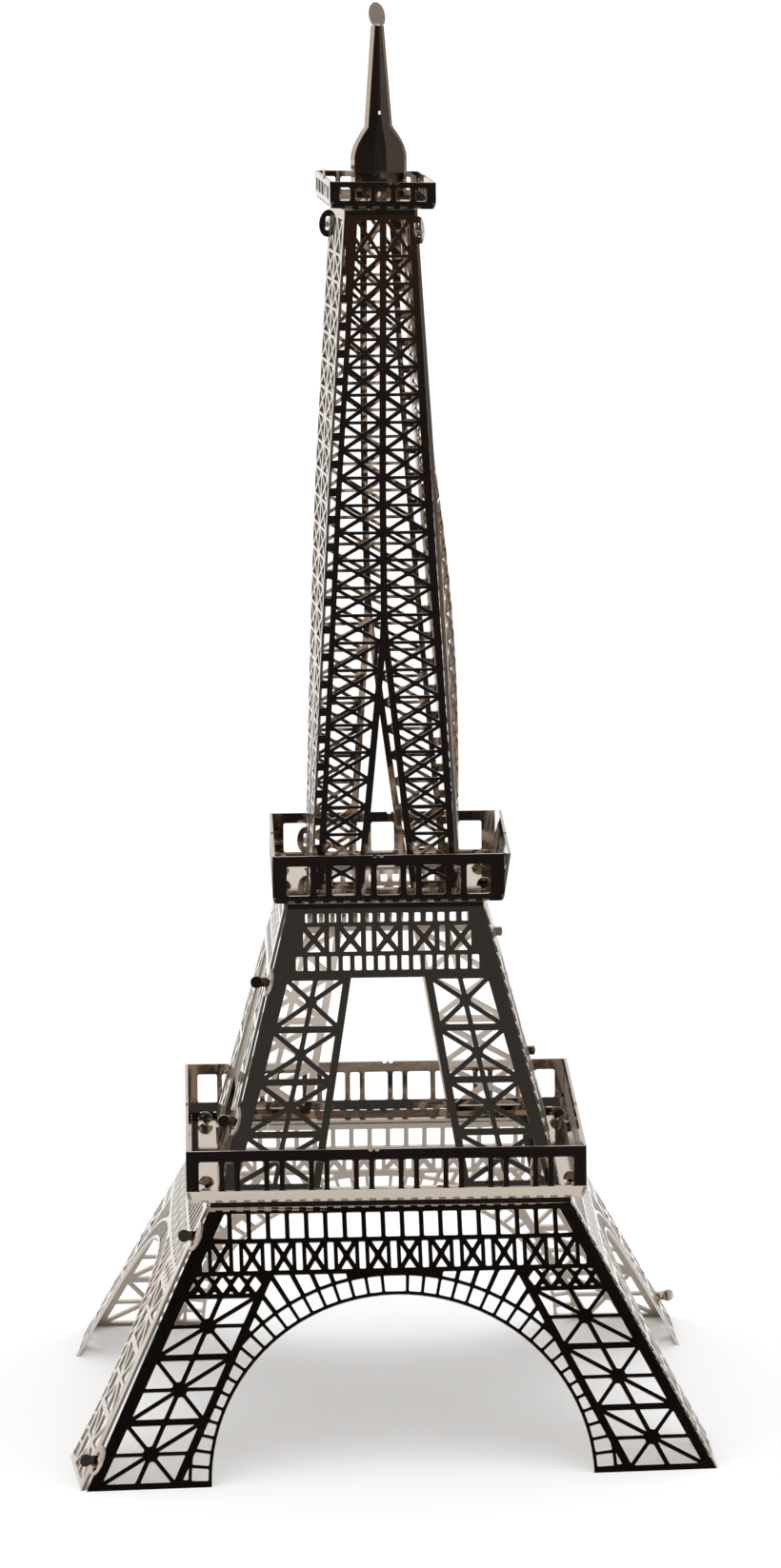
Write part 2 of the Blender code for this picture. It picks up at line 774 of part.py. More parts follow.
lower_ears = (LOWER.foot + LOWER_EAR_RISE, LOWER.top - LOWER_EAR_DROP)
middle_ears = (MIDDLE.foot + MIDDLE_EAR_RISE, MIDDLE.top - MIDDLE_EAR_DROP)
upper_ears = (UPPER.foot + UPPER_EAR_RISE, UPPER.top - UPPER_EAR_DROP)
lower_tabs = (-LOWER_TOP_TAB, LOWER_TOP_TAB)
middle_foot_tabs = (-MIDDLE_FOOT_TAB, MIDDLE_FOOT_TAB)
middle_tabs = (-MIDDLE_TOP_TAB, MIDDLE_TOP_TAB)
upper_foot_tabs = (-UPPER_FOOT_TAB, UPPER_FOOT_TAB)
upper_tabs = (UPPER_TOP_TAB,)
lower_corners = {"front_right": 0.0, "back_left": math.pi}
upper_corners = {"front_left": -math.pi / 2, "back_right": math.pi / 2}

lower_sheet = folded_sheet(LOWER, lower_lattice(), lower_gate(), lower_ears, (), lower_tabs)
lower = thickened(lower_sheet, "lower_section")
cut_level(lower)
add_section(tower, "lower_section", lower, lower_corners, 0.22)

middle_sheet = folded_sheet(MIDDLE, middle_lattice(), middle_gate(), middle_ears,
                            middle_foot_tabs, middle_tabs)
add_section(tower, "middle_section", thickened(middle_sheet, "middle_section"), lower_corners, 0.2)

upper_sheet = folded_sheet(UPPER, upper_lattice(), upper_gate(), upper_ears,
                           upper_foot_tabs, upper_tabs)
add_section(tower, "upper_section", thickened(upper_sheet, "upper_section"), upper_corners, 0.2)

first_slots = top_tab_slots(LOWER, lower_tabs) + foot_tab_slots(MIDDLE, middle_foot_tabs)
add_sheet(tower, "first_platform",
          tray(FIRST_FLOOR, LOWER_TOP_HALF + FIRST_OVERHANG, FIRST_WALL,
               MIDDLE_FOOT_HALF - FIRST_LEDGE, first_slots,
               FIRST_WINDOWS, WINDOW_BAR, SILL, LINTEL), 0.18)
second_slots = top_tab_slots(MIDDLE, middle_tabs)
second_slots += quarter_turned(foot_tab_slots(UPPER, upper_foot_tabs))
add_sheet(tower, "second_platform",
          tray(SECOND_FLOOR, MIDDLE_TOP_HALF + SECOND_OVERHANG, SECOND_WALL,
               UPPER_FOOT_HALF - SECOND_LEDGE, second_slots,
               SECOND_WINDOWS, WINDOW_BAR, SILL, LINTEL), 0.18)
top_slots = quarter_turned(top_tab_slots(UPPER, upper_tabs))
top_slots.append(slot_beside(0.0, -SPIRE_FORWARD, "y"))
add_sheet(tower, "top_platform",
          tray(TOP_FLOOR, UPPER_TOP_HALF + TOP_OVERHANG, TOP_WALL, 0.0, top_slots,
               TOP_WINDOWS, TOP_WINDOW_BAR, TOP_SILL, TOP_LINTEL), 0.18)
add_spire(tower, 0.25)
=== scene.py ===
import math

import bmesh
import bpy
from mathutils import Matrix, Vector


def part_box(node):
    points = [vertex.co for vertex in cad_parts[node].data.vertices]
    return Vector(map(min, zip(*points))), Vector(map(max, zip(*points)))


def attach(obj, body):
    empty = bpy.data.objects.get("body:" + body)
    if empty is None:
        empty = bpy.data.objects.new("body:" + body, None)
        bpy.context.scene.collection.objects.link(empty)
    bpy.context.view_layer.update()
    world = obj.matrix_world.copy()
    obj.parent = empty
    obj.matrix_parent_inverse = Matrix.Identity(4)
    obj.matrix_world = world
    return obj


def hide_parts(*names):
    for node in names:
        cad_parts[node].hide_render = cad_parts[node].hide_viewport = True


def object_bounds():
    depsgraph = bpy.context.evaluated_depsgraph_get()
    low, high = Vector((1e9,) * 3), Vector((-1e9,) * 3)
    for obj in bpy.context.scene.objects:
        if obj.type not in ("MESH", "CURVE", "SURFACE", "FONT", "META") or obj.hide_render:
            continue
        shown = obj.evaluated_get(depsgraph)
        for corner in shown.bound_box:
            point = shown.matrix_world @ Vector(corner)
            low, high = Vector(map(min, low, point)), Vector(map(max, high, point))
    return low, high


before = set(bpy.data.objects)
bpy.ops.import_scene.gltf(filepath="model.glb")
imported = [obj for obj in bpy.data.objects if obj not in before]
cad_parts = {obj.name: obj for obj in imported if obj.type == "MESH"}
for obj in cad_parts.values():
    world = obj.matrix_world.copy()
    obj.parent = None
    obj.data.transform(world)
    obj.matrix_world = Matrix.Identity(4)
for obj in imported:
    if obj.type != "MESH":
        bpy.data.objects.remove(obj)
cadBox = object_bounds()
print("frame loaded:", len(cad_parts), "nodes")

mm = 0.001  # lengths below are millimetres, the scene is in metres
weld = 0.002  # points closer than this are one point, in millimetres


def hexColour(text):
    linear = []
    for start in (0, 2, 4):
        value = int(text[start:start + 2], 16) / 255
        linear.append(value / 12.92 if value <= 0.04045 else ((value + 0.055) / 1.055) ** 2.4)
    return (*linear, 1.0)


def addNode(tree, kind, settings=None, inputs=None, links=None):
    node = tree.nodes.new(kind)
    for name, value in (settings or {}).items():
        setattr(node, name, value)
    for name, value in (inputs or {}).items():
        node.inputs[name].default_value = value
    for name, (source, output) in (links or {}).items():
        tree.links.new(source.outputs[output], node.inputs[name])
    return node


def spans(source, target):
    # how a range of values goes over to another
    return {"From Min": source[0], "From Max": source[1], "To Min": target[0], "To Max": target[1]}


def newMaterial(name, inputs):
    material = bpy.data.materials.new(name)
    material.use_nodes = True
    shader = material.node_tree.nodes["Principled BSDF"]
    for key, value in inputs.items():
        shader.inputs[key].default_value = value
    return material, shader


# sizes in millimetres: grain and pits are finer on real steel, and are drawn as coarse as they need to show
sheetFinish = {"colour": "c3b7ac", "rough": (0.035, 0.09), "grain": 0.35}
spireFinish = {"colour": "c0b4a9", "rough": (0.05, 0.14), "grain": 0.3}
edgeFinish = {"colour": "d6cfc6", "rough": (0.3, 0.5), "pit": 0.25}
rolling = {
    "drawnOut": 0.08,  # scale of the streaks' pattern along z
    "smudge": 9.0,
    "mixRange": (0.12, 0.42),  # of streaks times smudges
    "bump": 0.05, "bumpDepth": 0.01,
}


def rolledSteel(name, finish):
    # bright cold rolled steel sheet: mirror-like, with faint streaks along the rolling direction
    material, shader = newMaterial(name, {"Base Color": hexColour(finish["colour"]), "Metallic": 1.0})
    tree = material.node_tree
    place = addNode(tree, "ShaderNodeTexCoord")
    stretch = addNode(tree, "ShaderNodeMapping", inputs={"Scale": (1, 1, rolling["drawnOut"])},
                      links={"Vector": (place, "Object")})
    streaks = addNode(tree, "ShaderNodeTexNoise", links={"Vector": (stretch, "Vector")},
                      inputs={"Scale": 1 / (finish["grain"] * mm), "Detail": 3.0})
    smudges = addNode(tree, "ShaderNodeTexNoise", links={"Vector": (place, "Object")},
                      inputs={"Scale": 1 / (rolling["smudge"] * mm), "Detail": 2.0})
    mixed = addNode(tree, "ShaderNodeMath", {"operation": "MULTIPLY"},
                    links={0: (streaks, "Fac"), 1: (smudges, "Fac")})
    rough = addNode(tree, "ShaderNodeMapRange", inputs=spans(rolling["mixRange"], finish["rough"]),
                    links={"Value": (mixed, "Value")})
    bump = addNode(tree, "ShaderNodeBump", links={"Height": (streaks, "Fac")},
                   inputs={"Strength": rolling["bump"], "Distance": rolling["bumpDepth"] * mm})
    tree.links.new(rough.outputs["Result"], shader.inputs["Roughness"])
    tree.links.new(bump.outputs["Normal"], shader.inputs["Normal"])
    return material


def etchedEdge(name, finish):
    # edge left by the cutting bath: pale, pitted and satin
    material, shader = newMaterial(name, {"Base Color": hexColour(finish["colour"]), "Metallic": 1.0})
    tree = material.node_tree
    place = addNode(tree, "ShaderNodeTexCoord")
    pits = addNode(tree, "ShaderNodeTexNoise", inputs={"Scale": 1 / (finish["pit"] * mm), "Detail": 2.0},
                   links={"Vector": (place, "Object")})
    rough = addNode(tree, "ShaderNodeMapRange", inputs=spans((0.0, 1.0), finish["rough"]),
                    links={"Value": (pits, "Fac")})
    tree.links.new(rough.outputs["Result"], shader.inputs["Roughness"])
    return material


sheetSteel = rolledSteel("rolledSteelSheet", sheetFinish)
spireSteel = rolledSteel("rolledSteelSpire", spireFinish)
edgeSteel = etchedEdge("etchedSteelEdge", edgeFinish)
print("steel ready")


# flat outlines are lists of (across, along) points, anticlockwise


def lineMeet(a, b, c, d):
    ab = (b[0] - a[0], b[1] - a[1])
    cd = (d[0] - c[0], d[1] - c[1])
    turn = ab[0] * cd[1] - ab[1] * cd[0]
    share = ((c[0] - a[0]) * cd[1] - (c[1] - a[1]) * cd[0]) / turn
    return (a[0] + share * ab[0], a[1] + share * ab[1])


def inset(outline, steps):
    sides = []
    for i, start in enumerate(outline):
        end = outline[(i + 1) % len(outline)]
        length = math.dist(start, end)
        shift = (-(end[1] - start[1]) / length * steps[i], (end[0] - start[0]) / length * steps[i])
        sides.append(((start[0] + shift[0], start[1] + shift[1]), (end[0] + shift[0], end[1] + shift[1])))
    return [lineMeet(*sides[i - 1], *sides[i]) for i in range(len(sides))]


def clip(outline, start, end):
    def side(p):
        return (end[0] - start[0]) * (p[1] - start[1]) - (end[1] - start[1]) * (p[0] - start[0])

    kept = []
    for i, point in enumerate(outline):
        before = outline[i - 1]
        if (side(before) > 0) != (side(point) > 0):
            kept.append(lineMeet(before, point, start, end))
        if side(point) > 0:
            kept.append(point)
    return kept if len(kept) > 2 else []


def area(outline):
    return sum(outline[i - 1][0] * p[1] - p[0] * outline[i - 1][1] for i, p in enumerate(outline)) / 2


def mirrored(outlines):
    return [[(-x, y) for x, y in reversed(outline)] for outline in outlines]


def between(a, b, share):
    return (a[0] + (b[0] - a[0]) * share, a[1] + (b[1] - a[1]) * share)


def rectangle(left, right, low, high):
    return [(left, low), (right, low), (right, high), (left, high)]


def upright(x, width, low, high):
    return rectangle(x - width / 2, x + width / 2, low, high)


def starCells(rim, bars, gusset):
    # cells between bars that run from the middle of a bay to the points on its rim
    corners = [p for p, isCorner in rim if isCorner]
    centre = lineMeet(corners[0], corners[2], corners[1], corners[3])
    cells = []
    for i, (point, _) in enumerate(rim):
        nextPoint = rim[(i + 1) % len(rim)][0]
        cell = inset([point, nextPoint, centre], (0.0, bars[(i + 1) % len(rim)] / 2, bars[i] / 2))
        middlePoint = between(point, nextPoint, 0.5)
        length = math.dist(centre, middlePoint)
        way = ((middlePoint[0] - centre[0]) / length, (middlePoint[1] - centre[1]) / length)
        near = (centre[0] + way[0] * gusset, centre[1] + way[1] * gusset)
        cells.append(clip(cell, near, (near[0] + way[1], near[1] - way[0])))
    return [cell for cell in cells if cell]


def crossCells(bay, bar, gusset):
    return starCells([(p, True) for p in bay], [bar] * 4, gusset)


def bayCorners(inner, outer, low, high):
    return [(inner(low), low), (outer(low), low), (outer(high), high), (inner(high), high)]


def bayRim(corners, halved):
    # corners of a bay, and the middle of each side that is halved
    rim = []
    for corner, nextCorner, isHalved in zip(corners, corners[1:] + corners[:1], halved):
        rim.append((corner, True))
        if isHalved:
            rim.append((between(corner, nextCorner, 0.5), False))
    return rim


sheet = {
    "thickness": 0.28,
    "cadThickness": 0.3,
    "clearance": 0.3,  # around a tab in its slot
    "neckSpare": 0.1,  # of a tab past the floor that it goes through
    "seamGap": 0.35,  # between an open edge and its corner
    "flange": 0.5,
    "leastCut": 0.12,  # a smaller cut is left out, in square millimetres
    "latticeRound": 0.11,  # corners of the lattice cuts
    "windowRound": 0.2,  # corners of the platforms' windows
    "foldRound": 0.22,
    "foldTurn": 0.6,  # an edge that turns more than this is a fold, in radians
    "dashPitch": 1.36,
    "dashLength": 0.69,
    "dashDepth": 0.24,
    "dashEnd": 0.4,  # from either end of a section's fold to its dashes, at least
}


class Storey:
    # a tapering square of four panels
    def __init__(self, footZ, topZ, plan):
        self.footZ, self.topZ = footZ, topZ
        self.footHalf, self.topHalf = plan["footHalf"], plan["topHalf"]
        self.length = math.hypot(topZ - footZ, self.footHalf - self.topHalf)

    def half(self, along):
        return self.footHalf + (self.topHalf - self.footHalf) * along / self.length

    def clearHalf(self, along):
        return self.half(along) - sheet["seamGap"] / 2

    def z(self, along):
        return self.footZ + (self.topZ - self.footZ) * along / self.length

    def along(self, z):
        return (z - self.footZ) * self.length / (self.topZ - self.footZ)

    def front(self, point):
        return Vector((point[0], -self.half(point[1]), self.z(point[1])))

    def side(self, point):
        return Vector((self.half(point[1]), point[0], self.z(point[1])))


floors = {name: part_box(name)[0].z / mm for name in ("first_platform", "second_platform", "top_platform")}
underFloor = sheet["clearance"] + sheet["flange"]
overFloor = sheet["cadThickness"] + sheet["clearance"]


def chordEdge(storey, plan):
    # where the lattice ends beside the solid strip along a corner, which widens towards the top
    def edge(along):
        share = along / storey.length
        return storey.clearHalf(along) - plan["chordFoot"] - (plan["chordTop"] - plan["chordFoot"]) * share

    return edge


def polar(radius, angle):
    return (radius * math.sin(angle), radius * math.cos(angle))


def sector(low, high, start, end):
    return [polar(low, end), polar(high, end), polar(high, start), polar(low, start)]


def rowEnds(edge, low, high):
    return [(edge(low), low), (edge(high), high)]


def clipEnds(cells, edge, low, high):
    right = rowEnds(edge, low, high)
    left = [(-x, y) for x, y in reversed(right)]
    clipped = [clip(clip(cell, *right), *left) for cell in cells]
    return [cell for cell in clipped if area(cell) > sheet["leastCut"]]


def crossRow(row, low, edge):
    # boxes with a cross in them, and a slim upright window between each two
    high = low + row["tall"]
    cells = []
    for i in range(-row["count"], row["count"] + 1):
        middleX = i * row["pitch"] / 2
        isSlim = (i % 2 == 0) == row["slimAtCentre"]
        if isSlim:
            cells.append(upright(middleX, row["slim"], low, high))
        else:
            cells += crossCells(upright(middleX, row["width"], low, high), row["bar"], row["gusset"])
    return clipEnds(cells, edge, low, high)


def windowRow(count, pitch, width, low, high):
    middles = [(i - (count - 1) / 2) * pitch for i in range(count)]
    return [upright(x, width, low, high) for x in middles]


def clippedRow(row, low, edge):
    high = low + row["tall"]
    return clipEnds(windowRow(row["count"], row["pitch"], row["width"], low, high), edge, low, high)


lower = {
    "footHalf": 30.7, "topHalf": 17.9, "footBar": 0.62, "rowBar": 0.45, "topBar": 0.65,
    "chordFoot": 1.2, "chordTop": 1.65,
    "tallRow": {"tall": 2.5, "count": 23, "pitch": 1.87, "width": 1.42},
    "crossRow": {"tall": 2.72, "count": 14, "pitch": 3.07, "width": 1.68, "bar": 0.46, "gusset": 0.345,
                 "slim": 0.6, "slimAtCentre": True},
    "diamondRow": 1.75, "diamonds": 7, "diamondStart": 0.5, "diamondPitch": 1.6, "diamondHalf": (0.58, 0.8),
    "topNotch": (0.4, 0.38), "footNotch": (0.26, 0.26), "leastNotch": 0.05,
    "bayShares": (0.0, 0.338, 0.68, 1.0), "bayBar": 0.62,
    "brace": 0.4, "level": 0.37, "axis": 0.45, "gusset": 0.75,
    "innerFoot": 22.45, "innerLean": 0.473, "innerChord": 0.85,
    "ringDepth": 1.6, "ringRib": 0.33, "ringLap": 0.05, "ringCells": 19, "ringPost": 0.33,
    "crownHalf": 1.0, "archSteps": 48,
    "spandrelFrom": 3.6, "spandrelBar": 0.42, "spandrelReach": 1.4,
    "earRise": 2.7, "earDrop": 2.4, "topTab": 14.0,
}
lowerStorey = Storey(0.0, floors["first_platform"] - underFloor, lower)
lowerOuterEdge = chordEdge(lowerStorey, lower)
tallLow = lowerStorey.length - lower["topBar"] - lower["tallRow"]["tall"]
crossLow = tallLow - lower["rowBar"] - lower["crossRow"]["tall"]
diamondLow = crossLow - lower["rowBar"] - lower["diamondRow"]
ringOuter = crossLow - lower["rowBar"] + lower["ringLap"]
ringInner = ringOuter - lower["ringDepth"] - 2 * lower["ringRib"]


def innerEdge(along):
    return lower["innerFoot"] - lower["innerLean"] * along


def diamondCells():
    # small diamonds with a notch above and below each gap, along the row over the arch
    high = diamondLow + lower["diamondRow"]
    centre = (diamondLow + high) / 2
    start = innerEdge(centre) + lower["diamondStart"]
    halfWide, halfTall = lower["diamondHalf"]
    topHalf, topDeep = lower["topNotch"]
    footHalf, footDeep = lower["footNotch"]
    row = []
    for i in range(lower["diamonds"]):
        x = start + i * lower["diamondPitch"]
        row.append([(x - halfWide, centre), (x, centre - halfTall),
                    (x + halfWide, centre), (x, centre + halfTall)])
        gap = x + lower["diamondPitch"] / 2
        row.append([(gap - topHalf, high), (gap, high - topDeep), (gap + topHalf, high)])
        row.append([(gap - footHalf, diamondLow), (gap + footHalf, diamondLow),
                    (gap, diamondLow + footDeep)])
    edge = rowEnds(lowerOuterEdge, diamondLow, high)
    cells = [clip(cell, *edge) for cell in row]
    return [cell for cell in cells if area(cell) > lower["leastNotch"]]


def legCells():
    # bays down the leg, each with a cross, a level bar and a bar along the leg
    cells = []
    bars = [lower["brace"], lower["axis"], lower["brace"], lower["level"]] * 2
    levels = [lower["footBar"] + (diamondLow - lower["footBar"]) * share for share in lower["bayShares"]]
    for low, high in zip(levels, levels[1:]):
        top = high - (lower["bayBar"] if high < diamondLow else lower["rowBar"])
        corners = bayCorners(innerEdge, lowerOuterEdge, low, top)
        cells += starCells(bayRim(corners, (True, True, True, True)), bars, lower["gusset"])
    return cells


def archCells():
    # ladder cells round the arch, and the cells between the arch and the leg
    cells = []
    chord = [(innerEdge(along) - lower["innerChord"], along) for along in (0.0, lowerStorey.length)]
    holeLow, holeHigh = ringInner + lower["ringRib"], ringOuter - lower["ringRib"]
    crown = lower["crownHalf"] / holeLow
    last = math.acos(lower["footBar"] / holeLow)
    step = (last - crown) / lower["ringCells"]
    gap = lower["ringPost"] / ringOuter
    high = crossLow - lower["rowBar"]
    ceiling = [(ringOuter, high), (0.0, high)]
    ground = [(0.0, lower["footBar"]), (ringOuter, lower["footBar"])]
    reach = ringOuter * lower["spandrelReach"]
    for i in range(lower["ringCells"]):
        end = crown + (i + 1) * step
        start = end - step + gap
        cells.append(clip(sector(holeLow, holeHigh, start, end), *chord))
        above = sector(ringOuter, reach, start, end - (lower["spandrelBar"] / ringOuter - gap))
        for line in (chord, ceiling, ground):
            above = clip(above, *line)
        if area(above) > sheet["leastCut"] and start * ringOuter > lower["spandrelFrom"]:
            cells.append(above)
    return cells + mirrored(cells) + [sector(holeLow, holeHigh, -crown, crown)]


def lowerHoles():
    holes = clippedRow(lower["tallRow"], tallLow, lowerOuterEdge)
    holes += crossRow(lower["crossRow"], crossLow, lowerOuterEdge)
    leg = diamondCells() + legCells()
    return holes + leg + mirrored(leg) + archCells()


def lowerGate():
    count = lower["archSteps"]
    return [polar(ringInner, math.pi * (i / count - 0.5)) for i in range(count + 1)]


middle = {
    "footHalf": 16.8, "topHalf": 9.9, "footBar": 0.6, "rowBar": 0.43, "sillBar": 0.75, "topBar": 0.5,
    "chordFoot": 1.4, "chordTop": 1.8,
    "smallRow": {"tall": 0.88, "count": 14, "pitch": 1.18, "width": 0.68},
    "crossRow": {"tall": 2.45, "count": 4, "pitch": 3.6, "width": 2.05, "bar": 0.5, "gusset": 0.375,
                 "slim": 0.55, "slimAtCentre": False},
    "windowRow": {"tall": 1.4, "count": 16, "pitch": 1.15, "width": 0.7},
    "gateTop": 3.6, "gateFoot": 7.0, "innerChord": 0.75,
    "bays": 4, "bayReach": 0.45, "bayBar": 0.66, "brace": 0.46, "axis": 0.46, "gusset": 0.55,
    "earRise": 6.6, "earDrop": 6.9, "footTab": 11.5, "topTab": 6.5,
}
middleStorey = Storey(floors["first_platform"] + overFloor, floors["second_platform"] - underFloor, middle)
middleOuterEdge = chordEdge(middleStorey, middle)
smallLow = middleStorey.length - middle["topBar"] - middle["smallRow"]["tall"]
middleCrossLow = smallLow - middle["rowBar"] - middle["crossRow"]["tall"]
windowLow = middleCrossLow - middle["rowBar"] - middle["windowRow"]["tall"]
middleGateTop = windowLow - middle["sillBar"]


def middleInnerEdge(along):
    gate = middle["gateFoot"] + (middle["gateTop"] - middle["gateFoot"]) * along / middleGateTop
    return gate + middle["innerChord"]


def middleHoles():
    holes = clippedRow(middle["smallRow"], smallLow, middleOuterEdge)
    holes += crossRow(middle["crossRow"], middleCrossLow, middleOuterEdge)
    holes += clippedRow(middle["windowRow"], windowLow, middleOuterEdge)
    leg = []
    bars = [middle["brace"], middle["axis"], middle["brace"]] * 2
    pitch = (middleGateTop + middle["bayReach"] - middle["footBar"]) / middle["bays"]
    for i in range(middle["bays"]):
        low = middle["footBar"] + i * pitch
        corners = bayCorners(middleInnerEdge, middleOuterEdge, low, low + pitch - middle["bayBar"])
        leg += starCells(bayRim(corners, (True, False, True, False)), bars, middle["gusset"])
    return holes + leg + mirrored(leg)


def middleGate():
    foot, top = middle["gateFoot"], middle["gateTop"]
    return [(-foot, 0.0), (-top, middleGateTop), (top, middleGateTop), (foot, 0.0)]


upper = {
    "footHalf": 7.4, "topHalf": 3.6, "footBar": 0.55, "topBar": 0.35,
    "bayPitch": 2.7, "nodeDrop": 0.55, "bar": 0.3, "brace": 0.33, "gusset": 0.27, "centre": 0.66,
    "chord": 0.62, "frontChord": 0.96, "frontShift": 0.34, "gateFoot": 2.3, "gateRise": 22.6,
    "earRise": 2.2, "earDrop": 1.5, "footTab": 4.6, "topTab": 0.0,
    "foldSlot": 1.9, "foldSlotDeep": 0.75, "foldSlotShallow": 0.2,
    "slotFoot": 0.75, "slotGrow": 40.0, "slotFade": 10.0,  # depth of the slots along the fold
}
upperStorey = Storey(floors["second_platform"] + overFloor, floors["top_platform"] - underFloor, upper)
upperBays = round(upperStorey.length / upper["bayPitch"])
upperNodes = [upper["footBar"] + i * upper["bayPitch"] - upper["nodeDrop"] for i in range(1, upperBays)]
upperNodes = [upper["footBar"], *upperNodes, upperStorey.length - upper["topBar"]]


def upperInnerEdge(along):
    gate = upper["gateFoot"] * (1 - along / upper["gateRise"])
    return max(upper["centre"] / 2, gate + upper["centre"])


def upperHoles(chord):
    def outer(along):
        return upperStorey.clearHalf(along) - chord

    leg = []
    for foot, top in zip(upperNodes, upperNodes[1:]):
        bay = bayCorners(upperInnerEdge, outer, foot + upper["bar"] / 2, top - upper["bar"] / 2)
        leg += crossCells(bay, upper["brace"], upper["gusset"])
    return leg + mirrored(leg)


def upperGate():
    return [(-upper["gateFoot"], 0.0), (0.0, upper["gateRise"]), (upper["gateFoot"], 0.0)]


def dashes(low, high):
    # ends of the short slots that weaken a fold line
    count = int((high - low) / sheet["dashPitch"])
    spare = ((high - low) - count * sheet["dashPitch"]) / 2
    marks = []
    for i in range(count):
        start = low + spare + (i + 0.5) * sheet["dashPitch"] - sheet["dashLength"] / 2
        marks.append((start, start + sheet["dashLength"]))
    return marks


def shortFoldSlots(storey):
    marks = dashes(sheet["dashEnd"], storey.length - sheet["dashEnd"])
    return [(start, end, sheet["dashDepth"], sheet["dashDepth"]) for start, end in marks]


def longFoldSlots(storey):
    # one long slot beside each level bar, shallower near the foot and towards the top
    slots = []
    for along in upperNodes[1:-1]:
        grown = upper["slotFoot"] + along / upper["slotGrow"]
        share = min(1.0, grown, (storey.length - along) / upper["slotFade"])
        start = along - upper["foldSlot"] / 2
        depths = (upper["foldSlotShallow"] * share, upper["foldSlotDeep"] * share)
        slots.append((start, start + upper["foldSlot"], *depths))
    return slots


def foldEdge(storey, isFront, slots):
    # the folded side of a panel, from foot to top, with its part of every fold slot
    sign = 1 if isFront else -1
    edge = [(sign * storey.half(0.0), 0.0)]
    for start, end, *depths in slots:
        deep = depths[0 if isFront else 1]
        for along, depth in ((start, 0.0), (start, deep), (end, deep), (end, 0.0)):
            edge.append((sign * (storey.half(along) - depth), along))
    edge.append((sign * storey.half(storey.length), storey.length))
    return edge


ear = {"height": 2.7, "reach": 0.85, "steps": 8, "slotOut": 0.2, "slotIn": 0.5, "slotSpare": 0.25}
# tabs: width of the neck, width and rise of the rounded head, where on its round the head starts,
# the twist below it and how far the ear beside the tab is bent in, with angles in degrees
coinTab = {"width": 0.9, "head": 1.2, "rise": 0.6, "from": 48.0,
           "turnLength": 0.3, "twist": -16.0, "earBend": 35.0}
shortTab = {**coinTab, "head": 0.95, "rise": 0.2, "from": 75.0, "turnLength": 0.1, "twist": 0.0}
shaftTab = {**coinTab, "head": 1.1, "rise": 0.55, "from": 55.0, "twist": 70.0, "earBend": 0.0}
bentTab = {**shaftTab, "earBend": 50.0}
floorTab = {"width": 1.2, "head": 1.5, "rise": 0.8, "from": 90.0, "turnLength": 0.2, "twist": 80.0}
tabDrawing = {"twists": 3, "headStart": 0.05, "headEnd": 170.0, "headSteps": 8}  # the same for every tab
throughFloor = sheet["cadThickness"] + sheet["clearance"] + sheet["neckSpare"]


def earOutline(storey, z, tab):
    # a rounded ear on the open side of a side panel, from bottom to top, and its slot
    middleAlong = storey.along(z)

    def beside(out, along):
        return (storey.half(along) + out, along)

    rise = ear["height"] / 2
    points = [beside(-sheet["seamGap"], middleAlong - rise)]
    for i in range(ear["steps"] + 1):
        angle = math.pi * (i / ear["steps"] - 0.5)
        points.append(beside(ear["reach"] * math.cos(angle), middleAlong + rise * math.sin(angle)))
    points.append(beside(-sheet["seamGap"], middleAlong + rise))
    low = middleAlong - tab["width"] / 2 - ear["slotSpare"]
    high = middleAlong + tab["width"] / 2 + ear["slotSpare"]
    slot = [beside(-ear["slotIn"], low), beside(ear["slotOut"], low),
            beside(ear["slotOut"], high), beside(-ear["slotIn"], high)]
    return points, slot


def cornerTabs(storey, heights, tab):
    # edges down the open side of a front panel that its tabs grow from
    edges = []
    for z in sorted(heights, reverse=True):
        ends = (storey.along(z) + tab["width"] / 2, storey.along(z) - tab["width"] / 2)
        edges.append([(sheet["seamGap"] - storey.half(end), end) for end in ends])
    return edges


def tabMarks(middles):
    marks = []
    for x in sorted(middles):
        marks += [x - floorTab["width"] / 2, x + floorTab["width"] / 2]
    return marks


def addLoop(bm, outline):
    verts = [bm.verts.new((x, y, 0.0)) for x, y in outline]
    return verts, [bm.edges.new((verts[i - 1], v)) for i, v in enumerate(verts)]


def withoutSpecks(hole, shortest):
    # a tip too narrow to be rounded becomes one corner
    corners = []
    for point in hole + hole[:1]:
        if corners and math.dist(corners[-1], point) < shortest:
            point = tuple((a + b) / 2 for a, b in zip(corners.pop(), point))
        corners.append(point)
    return [corners[-1], *corners[1:-1]]


def flatPanel(outline, holes, cornerRound):
    # lay out every cut, round the corners of the cuts, then fill the sheet between them
    bm = bmesh.new()
    corners = []
    addLoop(bm, outline)
    for hole in holes:
        hole = withoutSpecks(hole, 2 * cornerRound)
        if len(hole) > 2:
            corners += addLoop(bm, hole)[0]
    bmesh.ops.bevel(bm, geom=corners, affect="VERTICES", offset=cornerRound, offset_type="OFFSET",
                    segments=2, profile=0.5, material=-1, clamp_overlap=True)
    bmesh.ops.remove_doubles(bm, verts=bm.verts, dist=weld)
    bmesh.ops.triangle_fill(bm, edges=bm.edges, use_beauty=True, use_dissolve=False, normal=(0, 0, 1))
    return bm


def joinInto(bm, part, place):
    for vert in part.verts:
        vert.co = place((vert.co.x, vert.co.y))
    mesh = bpy.data.meshes.new("panel")
    part.to_mesh(mesh)
    part.free()
    bm.from_mesh(mesh)
    bpy.data.meshes.remove(mesh)


def edgeAt(bm, a, b):
    middlePoint = (a + b) / 2
    return min(bm.edges, key=lambda e: ((e.verts[0].co + e.verts[1].co) / 2 - middlePoint).length_squared)


